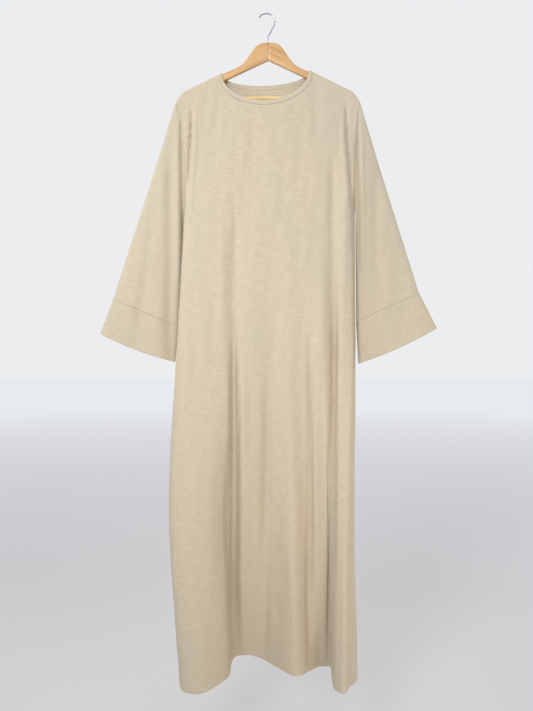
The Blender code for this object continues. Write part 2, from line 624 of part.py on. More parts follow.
def add_arm(side, name):
    """One wooden arm: sections along it, its top under the shoulder's line, its end rounded off."""
    outer = np.array(WOOD_LINE)
    reach = side * np.minimum(outer, LAST_STRAIGHT)
    rise = shoulder_height(side * LAST_STRAIGHT) - shoulder_height(side * FIRST_STRAIGHT)
    slope = rise / (LAST_STRAIGHT - FIRST_STRAIGHT)
    line = shoulder_height(reach) + slope * np.maximum(outer - LAST_STRAIGHT, 0) - WOOD_ROOM
    top_x, top_z = np.array(WOOD_TOP).T
    top_x, top_z = np.concatenate((top_x, outer)), np.concatenate((top_z, line))
    under_x, under_z = np.array(WOOD_UNDER).T
    stations = np.concatenate((
        np.linspace(WOOD_HALF_JOINT, WOOD_END - WOOD_END_ROUND, ARM_STATIONS),
        WOOD_END - WOOD_END_ROUND * (1 - np.sin(np.radians(WOOD_END_ANGLES))),
    ))
    top, under = smooth(top_x, top_z, stations), smooth(under_x, under_z, stations)
    past = np.clip((stations - WOOD_END + WOOD_END_ROUND) / WOOD_END_ROUND, 0, 1)
    scale = np.sqrt(1 - past**2)
    rings = [
        [(side * x, y, z) for y, z in arm_section(a, b, s)] for x, a, b, s in zip(stations, top, under, scale)
    ]
    points = np.array(rings)
    if side > 0:
        points = points[:, ::-1]
    around = points.shape[1]
    faces = [tuple(face) for face in grid_faces(len(points), around, True)]
    faces.append(tuple(range(around)))
    faces.append(tuple(range((len(points) - 1) * around, len(points) * around))[::-1])
    return add_mesh(name, points.reshape(-1, 3), faces, "wood")


def cylinder(name, radius, start, end, sides):
    """A round bar between two points that lie on one line along X or Z."""
    start, end = np.array(start), np.array(end)
    turn = np.arange(sides) * 2 * math.pi / sides
    if start[0] != end[0]:
        section = np.stack((0 * turn, np.cos(turn), np.sin(turn)), -1)
    else:
        section = np.stack((np.cos(turn), np.sin(turn), 0 * turn), -1)
    points = np.concatenate((start + radius * section, end + radius * section))
    sides_of = [(i, (i + 1) % sides, sides + (i + 1) % sides, sides + i) for i in range(sides)]
    ends = [tuple(range(sides))[::-1], tuple(range(sides, 2 * sides))]
    return add_mesh(name, points, sides_of + ends, "bar wood")


def add_hanger():
    """Two arms that meet at the middle, grooved for the hook's stem and bored for the bar."""
    stem_end = STEM[-1][1] - SEAM_GAP
    stem_bore = cylinder("stem_bore", WIRE_RADIUS + SEAM_GAP, (0, 0, stem_end), (0, 0, BORE_TOP), BORE_SIDES)
    bar_reach = BAR_HALF_LENGTH + SEAM_GAP
    bar_bore = cylinder(
        "bar_bore", BAR_RADIUS + SEAM_GAP, (-bar_reach, 0, BAR_HEIGHT), (bar_reach, 0, BAR_HEIGHT), BAR_SIDES
    )
    for cutter in (stem_bore, bar_bore):
        cutter.hide_render = True
        cutter.display_type = "WIRE"
    for side, name in ((-1, "hanger_arm_left"), (1, "hanger_arm_right")):
        arm = add_arm(side, name)
        for cutter in (stem_bore, bar_bore):
            cut = arm.modifiers.new(cutter.name, "BOOLEAN")
            cut.operation = "DIFFERENCE"
            cut.object = cutter
    reach = BAR_HALF_LENGTH
    cylinder("hanger_bar", BAR_RADIUS, (-reach, 0, BAR_HEIGHT), (reach, 0, BAR_HEIGHT), BAR_SIDES)
    add_hook()


def add_hook():
    """The wire: a round arc from its tip over the crown, then the stem down into the joint."""
    inner = HOOK_RADIUS - WIRE_RADIUS
    centre_z = -math.sqrt(inner**2 - HOOK_OFFSET**2)
    turn = np.radians(np.linspace(HOOK_TIP_ANGLE, HOOK_LAST_ANGLE, HOOK_POINTS))
    arc = np.stack((HOOK_OFFSET + HOOK_RADIUS * np.cos(turn), centre_z + HOOK_RADIUS * np.sin(turn)), -1)
    through = np.concatenate((arc, STEM))
    length = np.concatenate(((0,), np.cumsum(np.linalg.norm(np.diff(through, axis=0), axis=1))))
    path = smooth(length, through, np.linspace(0, length[-1], 2 * HOOK_POINTS))
    along = unit(np.gradient(path, axis=0))
    flat = np.stack((-along[:, 1], 0 * along[:, 0], along[:, 0]), -1)
    round_turn = np.arange(WIRE_SIDES) * 2 * math.pi / WIRE_SIDES
    centre = np.stack((path[:, 0], 0 * path[:, 0], path[:, 1]), -1)
    wire = np.full(len(path), WIRE_RADIUS)
    wire[0] = WIRE_RADIUS * TIP_SHARE
    rings = centre[:, None] + wire[:, None, None] * (
        flat[:, None] * np.cos(round_turn)[:, None] + np.array((0, 1.0, 0)) * np.sin(round_turn)[:, None]
    )
    faces = [tuple(face) for face in grid_faces(len(path), WIRE_SIDES, True)]
    faces.append(tuple(range(WIRE_SIDES)))
    faces.append(tuple(range((len(path) - 1) * WIRE_SIDES, len(path) * WIRE_SIDES))[::-1])
    add_mesh("hanger_hook", rings.reshape(-1, 3), faces, "chrome")


clear_scene()
add_body()
add_hanger()
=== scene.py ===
"""A long plain abaya of beige linen-look cloth on a wooden hanger: the looks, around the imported
frame.

Every piece of cloth is worked out as a fine grid on the form that its solid holds, with the
creases that hand and hanger leave in it, and gets its wall, its seams and its stitches.
"""

import math

import bpy
import numpy as np
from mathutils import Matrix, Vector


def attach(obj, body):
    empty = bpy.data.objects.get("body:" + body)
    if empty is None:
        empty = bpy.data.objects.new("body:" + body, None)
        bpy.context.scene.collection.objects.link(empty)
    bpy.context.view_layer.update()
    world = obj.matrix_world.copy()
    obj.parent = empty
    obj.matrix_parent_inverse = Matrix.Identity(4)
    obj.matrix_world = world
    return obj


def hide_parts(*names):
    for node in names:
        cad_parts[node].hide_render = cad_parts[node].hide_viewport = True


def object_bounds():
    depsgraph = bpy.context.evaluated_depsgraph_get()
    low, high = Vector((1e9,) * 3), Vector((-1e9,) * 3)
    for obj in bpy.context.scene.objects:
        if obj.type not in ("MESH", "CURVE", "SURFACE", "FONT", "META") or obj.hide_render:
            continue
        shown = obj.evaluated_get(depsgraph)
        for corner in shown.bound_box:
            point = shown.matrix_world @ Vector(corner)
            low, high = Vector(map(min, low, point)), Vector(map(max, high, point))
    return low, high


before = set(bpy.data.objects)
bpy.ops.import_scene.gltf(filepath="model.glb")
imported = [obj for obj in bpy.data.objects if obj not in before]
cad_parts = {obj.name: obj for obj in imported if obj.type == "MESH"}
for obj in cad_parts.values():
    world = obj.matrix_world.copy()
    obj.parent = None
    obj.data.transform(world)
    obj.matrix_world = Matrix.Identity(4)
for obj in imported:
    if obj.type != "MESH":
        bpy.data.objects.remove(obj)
cad_low, cad_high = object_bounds()

# The view: a level camera at half the garment's height, a little left of the hanger's hook, as in
# the photo, whose long side takes the sensor's width. The object has no cords.
EYE = (-0.005, -1.95, -0.879)
LENS = 38.3
SENSOR = 36.0
NEAREST = 0.01  # the camera sees nothing closer than this


def add_object(name, data):
    """An object in the scene that holds this data."""
    made = bpy.data.objects.new(name, data)
    bpy.context.scene.collection.objects.link(made)
    return made


camera_data = bpy.data.cameras.new("camera")
camera_data.lens = LENS
camera_data.sensor_width = SENSOR
camera_data.clip_start = NEAREST
camera = add_object("camera", camera_data)
camera.location = EYE
camera.rotation_euler = (math.radians(90), 0.0, 0.0)
bpy.context.scene.camera = camera

# The room: a plain pale floor under the hanging garment, which pales into the sky with distance,
# and soft light from large lamps, stronger from the upper left as in the photo, warm and weak from
# low down.
FLOOR_DROP = 0.16  # below the hem
FLOOR_SIZE = 60.0
FLOOR_TONE = (0.66, 0.65, 0.66)
FLOOR_FAR_TONE = (0.96, 0.97, 0.99)
FLOOR_FADE = (2.0, 12.0)  # distances from the hook between which the floor pales
FLOOR_ROUGHNESS = 0.9
SKY_TONE = (0.925, 0.94, 0.96)
SKY_STRENGTH = 0.90
LAMPS = (
    # name, place, aim, size, power, spread in degrees, colour
    ("window", (-1.25, -2.9, 0.35), (0.0, 0.0, -0.50), 1.1, 6.0, 54, (0.97, 0.985, 1.0)),
    ("side", (-2.8, -0.9, 0.2), (0.0, 0.0, -0.4), 1.2, 1.5, 44, (1.0, 0.98, 0.96)),
    ("low", (1.25, -2.3, -1.15), (0.03, 0.0, -1.35), 0.9, 1.15, 44, (1.0, 0.80, 0.58)),
    ("back", (2.3, 2.2, 0.7), (0.0, 0.0, -0.5), 1.4, 6.0, 56, (1.0, 0.985, 0.96)),
)


class Sum:
    """A socket of a shader, with Python's operators: an expression on values adds its Math
    nodes."""

    def __init__(self, tree, socket):
        self.tree, self.socket = tree, socket

    def node(self, kind, settings=None, inputs=None, out=0):
        """A node of this kind: its settings first, then the values or links of its sockets."""
        made = self.tree.nodes.new(kind)
        for name, value in (settings or {}).items():
            setattr(made, name, value)
        for name, value in (inputs or {}).items():
            if isinstance(value, Sum):
                self.tree.links.new(value.socket, made.inputs[name])
            else:
                made.inputs[name].default_value = value
        return Sum(self.tree, made.outputs[out])

    def math(self, operation, *values):
        """This operation on numbers and sockets."""
        return self.node("ShaderNodeMath", {"operation": operation}, dict(enumerate(values)))

    def __add__(self, other):
        return self.math("ADD", self, other)

    def __mul__(self, other):
        return self.math("MULTIPLY", self, other)

    __radd__, __rmul__ = __add__, __mul__

    def sine(self):
        return self.math("SINE", self)

    def spread(self, low, high):
        """This value spread so that low becomes 0 and high becomes 1, and held between them."""
        inputs = {"Value": self, "From Min": low, "From Max": high}
        return self.node("ShaderNodeMapRange", {}, inputs)

    def mix(self, low, high):
        """A colour from low to high, each a colour or a socket, by this value from 0 to 1."""
        low, high = (end if isinstance(end, Sum) else (*end, 1.0) for end in (low, high))
        return self.node("ShaderNodeMix", {"data_type": "RGBA"}, {0: self, 6: low, 7: high}, 2)

    def noise(self, stretch, detail, **more):
        """Noise from 0 to 1 on this vector, scaled by stretch along each axis."""
        spot = self.node("ShaderNodeMapping", {}, {"Vector": self, "Scale": stretch})
        inputs = {"Vector": spot, "Scale": 1.0, "Detail": detail, **more}
        return self.node("ShaderNodeTexNoise", {}, inputs)

    def bump(self, strength, distance):
        """The normal of a surface that this value raises."""
        inputs = {"Height": self, "Strength": strength, "Distance": distance}
        return self.node("ShaderNodeBump", {}, inputs)


def new_finish(name, **constants):
    """A material, its shader with these constants set, and a Sum to start expressions from."""
    made = bpy.data.materials.new(name)
    made.use_nodes = True
    tree = made.node_tree
    shader = tree.nodes["Principled BSDF"]
    for socket, value in constants.items():
        shader.inputs[socket.replace("_", " ")].default_value = value
    return made, shader, Sum(tree, None)


def feed(shader, start, **links):
    """Links each expression to the shader's socket of its name."""
    for socket, value in links.items():
        start.tree.links.new(value.socket, shader.inputs[socket.replace("_", " ")])


def object_place(start):
    """Places in the object's own metres."""
    return start.node("ShaderNodeTexCoord", out="Object")


floor_mesh = bpy.data.meshes.new("floor")
half, floor_z = FLOOR_SIZE / 2, cad_low[2] - FLOOR_DROP
corners = [(x * half, y * half, floor_z) for x, y in ((-1, -1), (1, -1), (1, 1), (-1, 1))]
floor_mesh.from_pydata(corners, [], [(0, 1, 2, 3)])
floor_shade, floor_shader, start = new_finish("pale floor", Roughness=FLOOR_ROUGHNESS)
place = object_place(start)
distance = start.node("ShaderNodeVectorMath", {"operation": "LENGTH"}, {0: place}, "Value")
feed(floor_shader, start, Base_Color=distance.spread(*FLOOR_FADE).mix(FLOOR_TONE, FLOOR_FAR_TONE))
floor_mesh.materials.append(floor_shade)
floor = add_object("floor", floor_mesh)

sky = bpy.data.worlds.new("sky")
sky.use_nodes = True
sky.node_tree.nodes["Background"].inputs["Color"].default_value = (*SKY_TONE, 1.0)
sky.node_tree.nodes["Background"].inputs["Strength"].default_value = SKY_STRENGTH
bpy.context.scene.world = sky
bpy.context.scene.view_settings.view_transform = "Standard"

for lamp_name, place, aim, size, power, spread, colour in LAMPS:
    lamp = bpy.data.lights.new(lamp_name, "AREA")
    lamp.shape = "DISK"
    lamp.size = size
    lamp.energy = power
    lamp.spread = math.radians(spread)
    lamp.color = colour
    holder = add_object(lamp_name, lamp)
    holder.location = place
    x, y, z = np.array(aim) - np.array(place)
    tilt, turn = math.atan2(math.hypot(x, y), -z), math.atan2(y, x) - math.pi / 2
    holder.rotation_euler = (tilt, 0.0, turn)

# The hanger's two arms: lacquered pale hardwood, shaped from one board each, with a rounded top
# and a softly broken lower edge, joined at the middle, where the joint shows as a thin dark line.
WOOD_HALF = 0.0062
WOOD_ROOM = 0.00125  # from the cloth's middle layer down to the wood
WOOD_HALF_JOINT = 0.00015
WOOD_TOP = (
    # x, z
    (0.000, -0.0730),
    (0.014, -0.0738),
    (0.029, -0.0798),
    (0.041, -0.0935),
    (0.053, -0.1115),
    (0.066, -0.1272),
    (0.082, -0.1385),
    (0.100, -0.1465),
)
WOOD_UNDER = (
    # x, z
    (0.000, -0.1195),
    (0.030, -0.1335),
    (0.100, -0.1665),
    (0.160, -0.1960),
    (0.182, -0.2120),
    (0.196, -0.2245),
    (0.207, -0.2240),
    (0.215, -0.2180),
)
WOOD_END = 0.2140
WOOD_END_ROUND = 0.012
LAST_STRAIGHT = 0.1900  # the arm's top is straight from here to its end
LINE_START = 0.150  # the arm's end goes on in the line from here to LAST_STRAIGHT
LINE_PLACES = (0.124, LINE_START, 0.180, WOOD_END)
ARM_SIDES = 48
ARM_STATIONS = 60
ARM_POWER_TOP = 3.2
ARM_POWER_UNDER = 5.0
ARM_END_ANGLES = (15, 30, 45, 60, 75, 86)
ARM_SLOPE = 0.46
JOINT_BREAK = 0.0008  # broken edge at the joint
JOINT_SHRINK = 0.93
SHARP_ANGLE = 50  # an edge that turns by more degrees than this shades sharp

WOOD_DARK = (0.47, 0.245, 0.090)
WOOD_PALE = (0.66, 0.400, 0.165)
# How often a metre, along the board and across it: the grain's bends, its rings and its pores.
GRAIN_BENDS = (9, 30, 30)
GRAIN_RINGS = (14, 260, 260)
GRAIN_PORES = (60, 1500, 1500)
GRAIN_CONTRAST = (0.34, 0.66)
GRAIN_DEPTH = 0.0002


def wood_finish(name, dark, pale, turn):
    """Lacquered wood: rings of grain that wander with its bends, along the board's slope, and fine
    pores. The colour goes from dark to pale by 85% rings and 15% pores, the relief is 40% rings
    and 60% pores."""
    made, shader, start = new_finish(name, Coat_Weight=0.35, Coat_Roughness=0.22)
    board = start.node(
        "ShaderNodeMapping", {}, {"Vector": object_place(start), "Rotation": (0.0, turn, 0.0)},
    )
    bends, pores = board.noise(GRAIN_BENDS, 1.0), board.noise(GRAIN_PORES, 1.0)
    rings = board.noise(GRAIN_RINGS, 3.0, Distortion=0.6) * 0.75 + bends * 0.25
    rings = rings.spread(*GRAIN_CONTRAST)
    feed(
        shader, start,
        Base_Color=(rings * 0.85 + pores * 0.15).mix(dark, pale),
        Roughness=rings * -0.08 + 0.42,
        Normal=(rings * 0.4 + pores * 0.6).bump(0.15, GRAIN_DEPTH),
    )
    return made


def add_piece(name, points, faces, finish, node, uv=None):
    """A piece from its points and faces, riding on the one body in its node's place. uv gives each
    face corner's place on the cut cloth, in metres, for the weave to follow."""
    mesh = bpy.data.meshes.new(name)
    mesh.from_pydata(points, [], faces)
    if uv is not None:
        mesh.uv_layers.new(name="cloth").data.foreach_set("uv", uv.astype(np.float32).ravel())
    mesh.materials.append(finish)
    mesh.shade_smooth()
    mesh.set_sharp_from_angle(angle=math.radians(SHARP_ANGLE))
    piece = add_object(name, mesh)
    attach(piece, "root")
    if node:
        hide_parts(node)
    return piece


def circle(sides):
    """Angles once round, in even steps."""
    return np.linspace(0, 2 * math.pi, sides, endpoint=False)


def smooth(knots, values, at):
    """A smooth curve through values at rising knots, read at the places in at: cubic pieces whose
    slope at a knot is the mean of its two chords' slopes, weighted by the other chord's length."""
    knots, values, at = np.asarray(knots, float), np.asarray(values, float), np.asarray(at, float)
    step = np.diff(knots)
    shape = (-1,) + (1,) * (values.ndim - 1)
    chord = np.diff(values, axis=0) / step.reshape(shape)
    slope = np.empty_like(values)
    slope[0], slope[-1] = chord[0], chord[-1]
    before, after = step[:-1].reshape(shape), step[1:].reshape(shape)
    slope[1:-1] = (chord[:-1] * after + chord[1:] * before) / (before + after)
    piece = np.clip(np.searchsorted(knots, at, side="right") - 1, 0, len(step) - 1)
    width = step[piece].reshape(shape)
    t = ((at - knots[piece]) / step[piece]).reshape(shape)
    return (
        values[piece] * (1 + 2 * t) * (1 - t) ** 2
        + slope[piece] * width * t * (1 - t) ** 2
        + values[piece + 1] * t * t * (3 - 2 * t)
        + slope[piece + 1] * width * t * t * (t - 1)
    )


def tube_faces(rings, around, tubes=1):
    """Faces of closed tubes whose points are numbered ring by ring, one tube after another: quads
    between the rings, and one face over each end."""
    here = np.arange(around)
    after, down = np.roll(here, -1), np.arange(rings - 1)[:, None] * around
    lower = down + around
    quads = np.stack((down + here, lower + here, lower + after, down + after), -1).reshape(-1, 4)
    ends = np.stack((here, here[::-1] + (rings - 1) * around))
    base = np.arange(tubes)[:, None, None] * rings * around
    quads, ends = (quads + base).reshape(-1, 4), (ends + base).reshape(-1, around)
    return quads.tolist() + ends.tolist()


# The shoulder line as seen from the front, from the left armhole's top to the right one's.
SHOULDER = (
    # x, z
    (-0.2390, -0.2300),
    (-0.2310, -0.2140),
    (-0.2170, -0.1995),
    (-0.1280, -0.1568),
    (0.0000, -0.0940),
    (0.1200, -0.1528),
    (0.2150, -0.1992),
    (0.2270, -0.2130),
    (0.2350, -0.2265),
)


def shoulder_height(x):
    """z of the shoulder line at x, straight from point to point."""
    knots, heights = zip(*SHOULDER)
    return np.interp(x, knots, heights)


def arm_section(top, under, scale):
    """Once round an arm's section: a superellipse round its middle, rounder above than below. top
    and under are columns of heights, and scale shrinks the section near the arm's end."""
    across, up = np.cos(circle(ARM_SIDES)), np.sin(circle(ARM_SIDES))
    middle, half_height = (top + under) / 2, (top - under) / 2 * scale
    power = 2 / np.where(up > 0, ARM_POWER_TOP, ARM_POWER_UNDER)
    y = WOOD_HALF * scale * np.sign(across) * abs(across) ** power
    z = middle + half_height * np.sign(up) * abs(up) ** power
    return y, z


def arm_points(side):
    """Grid of an arm's skin: stations along it by sections round it."""
    outer = np.array(LINE_PLACES)
    reach = side * np.minimum(outer, LAST_STRAIGHT)
    first, last = (shoulder_height(side * x) for x in (LINE_START, LAST_STRAIGHT))
    slope = (last - first) / (LAST_STRAIGHT - LINE_START)
    line = shoulder_height(reach) + slope * np.maximum(outer - LAST_STRAIGHT, 0) - WOOD_ROOM
    top_x, top_z = np.array(WOOD_TOP).T
    top_x, top_z = np.concatenate((top_x, outer)), np.concatenate((top_z, line))
    under_x, under_z = np.array(WOOD_UNDER).T
    stations = np.concatenate((
        (WOOD_HALF_JOINT,),
        np.linspace(WOOD_HALF_JOINT + JOINT_BREAK, WOOD_END - WOOD_END_ROUND, ARM_STATIONS),
        WOOD_END - WOOD_END_ROUND * (1 - np.sin(np.radians(ARM_END_ANGLES))),
    ))
    top, under = smooth(top_x, top_z, stations), smooth(under_x, under_z, stations)
    past = np.clip((stations - WOOD_END + WOOD_END_ROUND) / WOOD_END_ROUND, 0, 1)
    scale = np.sqrt(1 - past**2)
    scale[0] = JOINT_SHRINK
    y, z = arm_section(top[:, None], under[:, None], scale[:, None])
    return np.stack((side * stations[:, None] + 0 * y, y, z + 0 * y), -1)


def add_tube(name, rings, finish, node):
    """A closed tube on rings of points. Faces that point inwards are turned."""
    count, around = rings.shape[:2]
    faces = tube_faces(count, around)
    here, below = rings[count // 2], rings[count // 2 + 1]
    out = np.cross(below[0] - here[0], here[1] - here[0])
    if np.dot(out, here[0] - here.mean(axis=0)) < 0:
        faces = [face[::-1] for face in faces]
    return add_piece(name, rings.reshape(-1, 3).tolist(), faces, finish, node)


for side, arm_name in ((-1, "left"), (1, "right")):
    add_tube(
        "arm_" + arm_name,
        arm_points(side),
        wood_finish("wood " + arm_name, WOOD_DARK, WOOD_PALE, -side * ARM_SLOPE),
        "hanger_arm_" + arm_name,
    )

# The trouser bar: a round dowel of the same wood, paler and yellower, held in a bore at each end.
BAR_RADIUS = 0.0055
BAR_HEIGHT = -0.2170
BAR_HALF_LENGTH = 0.1985
BAR_STATIONS = 9
BAR_SIDES = 40
BAR_BREAK = 0.001  # broken edge at each end
BAR_SHRINK = 0.9
BAR_DARK = (0.62, 0.40, 0.130)
BAR_PALE = (0.86, 0.62, 0.250)

straight = BAR_HALF_LENGTH - BAR_BREAK
bar_x = (-BAR_HALF_LENGTH, *np.linspace(-straight, straight, BAR_STATIONS), BAR_HALF_LENGTH)
radius = np.full((len(bar_x), 1), BAR_RADIUS)
radius[[0, -1]] *= BAR_SHRINK
bar_y, bar_z = radius * np.cos(circle(BAR_SIDES)), BAR_HEIGHT + radius * np.sin(circle(BAR_SIDES))
bar_rings = np.stack((np.array(bar_x)[:, None] + 0 * bar_y, bar_y, bar_z), -1)
bar_finish = wood_finish("bar wood", BAR_DARK, BAR_PALE, 0.0)
add_tube("bar", bar_rings, bar_finish, "hanger_bar")

# The hook: chromed wire bent round a former, its tip filed round, its straight stem driven into
# the joint of the arms.
WIRE_RADIUS = 0.00175
HOOK_RADIUS = 0.0222  # to the wire's middle
HOOK_OFFSET = -0.0054  # the round's centre, left of the plumb line
HOOK_TIP_ANGLE = 157
HOOK_LAST_ANGLE = -38
STEM = (
    # x, z
    (0.0070, -0.0440),
    (0.0016, -0.0530),
    (0.0000, -0.0620),
    (0.0000, -0.0700),
    (0.0000, -0.0930),
)
WIRE_SIDES = 24
ARC_POINTS = 18
HOOK_POINTS = 96
TIP_SHAPE = (0.45, 0.85, 0.97)  # the wire's thickness in its first rings, round the tip
CHROME_DARK = (0.30, 0.30, 0.32)
CHROME_PALE = (0.50, 0.50, 0.52)
SCUFFS = (120, 120, 900)  # fine marks round the wire, a metre


def unit(vectors):
    """These vectors at length one."""
    return vectors / np.linalg.norm(vectors, axis=-1, keepdims=True)


def run_length(points, power=1.0):
    """Distance along a line of points from its first one, the sum of its steps raised to power."""
    steps = np.linalg.norm(np.diff(points, axis=0), axis=-1) ** power
    return np.concatenate(((0,), np.cumsum(steps)))


chrome, chrome_shader, start = new_finish("chrome wire", Metallic=1.0)
scuffs = object_place(start).noise(SCUFFS, 3.0)
feed(
    chrome_shader, start,
    Base_Color=scuffs.mix(CHROME_DARK, CHROME_PALE),
    Roughness=scuffs * 0.10 + 0.16,
)

# The wire's middle in x and z: an arc that hangs from the crown at the origin, then the stem.
centre_z = -math.sqrt((HOOK_RADIUS - WIRE_RADIUS) ** 2 - HOOK_OFFSET**2)
turn = np.radians(np.linspace(HOOK_TIP_ANGLE, HOOK_LAST_ANGLE, ARC_POINTS))
arc = HOOK_RADIUS * np.stack((np.cos(turn), np.sin(turn)), -1) + (HOOK_OFFSET, centre_z)
through = np.concatenate((arc, STEM))
length = run_length(through)
x, z = smooth(length, through, np.linspace(0, length[-1], HOOK_POINTS)).T
middle = np.stack((x, 0 * x, z), -1)
along = unit(np.gradient(middle, axis=0))
beside = np.stack((-along[:, 2], 0 * x, along[:, 0]), -1)[:, None]
across = np.array((0, 1.0, 0))
turn = circle(WIRE_SIDES)[:, None]
wire = np.full((HOOK_POINTS, 1, 1), WIRE_RADIUS)
wire[: len(TIP_SHAPE), 0, 0] *= TIP_SHAPE
hook_rings = middle[:, None] + wire * (beside * np.cos(turn) + across * np.sin(turn))
add_tube("hook", hook_rings, chrome, "hanger_hook")

# The front and the back: two wide A-line panels of plain-woven slubbed linen cloth, sewn together
# at the shoulders and the sides, with a narrow hem turned inwards and stitched. They hang in long
# soft folds that start at the hanger and open out downwards.
CLOTH = 0.0015  # one layer of the cloth
SEAM_GAP = 0.0003
# The shoulder bends over the hanger's arm: half its depth, how square it is, its rows' drops.
WRAP_DEPTH = 0.0080
WRAP_POWER = 2.3
WRAP_DROPS = (0.0, 0.0005, 0.0020, 0.0045, 0.0080)
NECK_CENTRE = -0.008
NECK_HALF_WIDTH = 0.112
NECK_FRONT_DROP = 0.076
NECK_BACK_DROP = 0.031
NECK_BAND_WIDTH = 0.008
NECK_STEPS = 14  # columns of cloth along the neck between the two bends over the arms
CHEST = -0.490  # height of the underarm
HIP = -0.940
KNEE = -1.250
# The body's plan at four heights in millimetres, once round: the front from the left side seam to
# the right one, then the back. hem z is how low the hem hangs there.
BODY_PLAN = (
    # place, chest x, y, hip x, y, knee x, y, hem x, y, z
    ("left side seam", -214, 3, -234, -6, -246, -20, -221.5, -50, -1692),
    ("left edge", -209, -16, -237, -29, -250, -47, -217, -85, -1696),
    ("left roll, side", -185, -23.5, -219, -46, -238, -74, -204, -109, -1698.5),
    ("left roll, front", -152, -26.2, -176, -52, -196, -86, -168, -119, -1699),
    ("left roll, fall", -123, -26.8, -134, -50, -148, -77, -128, -93, -1690),
    ("left fold, lip", -103, -26.6, -108, -43, -119, -52, -98.5, -57, -1681),
    ("left fold, wall", -86, -26.6, -91, -37, -106, -25, -96, -10, -1672),
    ("left valley", -68, -27, -73, -39, -85, -17, -83, 30, -1666),
    ("middle ridge", -40, -27.8, -43, -43, -51, -29, -47, 38, -1666),
    ("middle dip", 2, -28, 2, -40, 3, -23, 13, 2, -1678),
    ("centre roll", 45, -27.8, 52, -45, 59, -44, 66, -44, -1687),
    ("right valley", 76, -27.2, 85, -40, 93, -29, 104, -23, -1684),
    ("right ridge", 102, -26.8, 113, -42, 122, -36, 132, 5, -1681.5),
    ("right floor", 127, -26.2, 141, -40, 150, -24, 159, 3, -1681.5),
    ("right fold, wall", 152, -25.6, 168, -34, 164, -43, 160, -47, -1690),
    ("right fold, lip", 179, -24.8, 190, -45, 176, -68, 164, -97, -1698.5),
    ("right roll", 206, -22, 211, -44, 194, -77, 183, -118, -1699),
    ("right side seam", 222, 3, 220, -20, 209, -62, 197.5, -93, -1694),
    ("right edge", 218, 13, 223, -2, 217, -34, 218.5, -64, -1690),
    ("right side, back", 204, 20, 216, 14, 216, -4, 224, -23, -1685),
    ("back, right turn", 180, 22.5, 194, 26, 196, 26, 209, 25, -1680),
    ("back, right roll", 146, 22.8, 156, 32, 156, 46, 171, 58, -1676),
    ("back, right crest", 108, 22.6, 114, 33, 112, 50, 123, 72, -1673),
    ("back, right dip", 68, 22.2, 70, 30, 68, 40, 77, 55, -1671),
    ("back, middle dip", 26, 22.2, 26, 30, 26, 40, 32, 55, -1670),
    ("back, middle roll", -18, 22.6, -22, 33, -22, 50, -18, 74, -1670),
    ("back, middle fall", -62, 22.6, -70, 32, -72, 48, -69, 71, -1670),
    ("back, left dip", -104, 22.2, -114, 30, -117, 40, -113, 56, -1673),
    ("back, left roll", -144, 22.2, -158, 31, -163, 45, -155, 65, -1677),
    ("back, left turn", -178, 21.8, -196, 27, -205, 38, -193, 55, -1682),
    ("left side, back", -200, 19, -220, 19, -232, 22, -215, 23, -1686),
    ("left edge, back", -210, 13, -231, 8, -243, 1, -222.5, -14, -1689),
)
LEVELS = (CHEST, HIP, KNEE)  # and the hem
# Each panel's three stretches, before, along and after the neck: the row above at which each
# starts, and its columns of cloth from row to row.
FRONT_STRETCHES = ((0, (2, 2, 2, 2)), (4, (2, 2, 2, 3, 3, 3, 3, 2, 2)), (13, (2, 2, 2, 2)))
BACK_STRETCHES = ((17, (1, 2, 2, 2, 2)), (22, (4, 5, 4, 5, 4)), (27, (2, 2, 2, 2, 1)))
# How soon the cloth leaves the shoulder's line on its way to the chest: powers, at the armhole and
# inside.
ARMHOLE_PULL = 4.0
ARMHOLE_REACH = 0.05
CHEST_POWER_EDGE = 2.6
CHEST_POWER = 0.9
ARMHOLE_GAPE = 0.013  # how far the back stands off at the armhole's middle
SLEEVE_LEAN = (0.38, 0.92)  # the sleeve leaves the armhole's top by this much outwards and down

# The grid: how many times finer it is than the columns above and the bend's rows, its two extra
# columns by a side seam, its rows, and the heights of the hem's rows above its edge. The cloth is
# turned in from the second of them down.
REFINE = 4
BEND_REFINE = 3
SEAM_STEPS = (0.3, 0.65)
CHEST_ROWS = 49
SKIRT_ROWS = 112
HEM_ROWS = (0.0130, 0.0120, 0.0112, 0.0105, 0.0098, 0.0088, 0.0060, 0.0030, 0.0012, 0.0004, 0.0)
STITCH_ROW = -8  # the row of the hem's stitches
HEM_FOLD = (1.0, 0.90, 0.55)  # share of the thickness in the hem's last rows, round its fold
STITCH_BITE = 0.0003
GHOST = 0.04  # a step past a side seam in the table, which gives the cloth's direction there
NORMAL_STEP = 0.0002  # steps over which the slopes of cloth and shoulder are read
SHOULDER_STEP = 0.001
ROLL = 0.0012  # a sewn edge's thickness comes in over this
EDGE_SHARE = 0.30
SEAM_CALM = 0.006  # creases die away this close to a seam
NECK_CALM = 0.030
NECK_EDGE_SHARE = 0.8  # the neck's edge keeps this much of its thickness, where the band covers it

CLOTH_DARK = (0.463, 0.387, 0.277)
CLOTH_PALE = (0.590, 0.505, 0.377)
CLOTH_COOL = (0.482, 0.440, 0.342)
THREAD_PITCH = 0.0009  # from one thread to the next
WEAVE_DEPTH = 0.0006
# Noise on the flat cloth, how often a metre across and down: slubs and fine threads each way, and
# patches.
SLUBS_DOWN = (300, 46, 1)
SLUBS_ACROSS = (38, 310, 1)
THREADS_DOWN = (1100, 110, 1)
THREADS_ACROSS = (90, 1150, 1)
PATCHES = (7, 4, 1)
SLUB_CONTRAST = (0.34, 0.66)
THREAD_CONTRAST = (0.30, 0.70)
PATCH_CONTRAST = (0.40, 0.66)
FRONT_CUT = (0.745, 1.540, 0.843)  # width at the hem, length, area, all flat
BACK_CUT = (0.675, 1.530, 0.799)

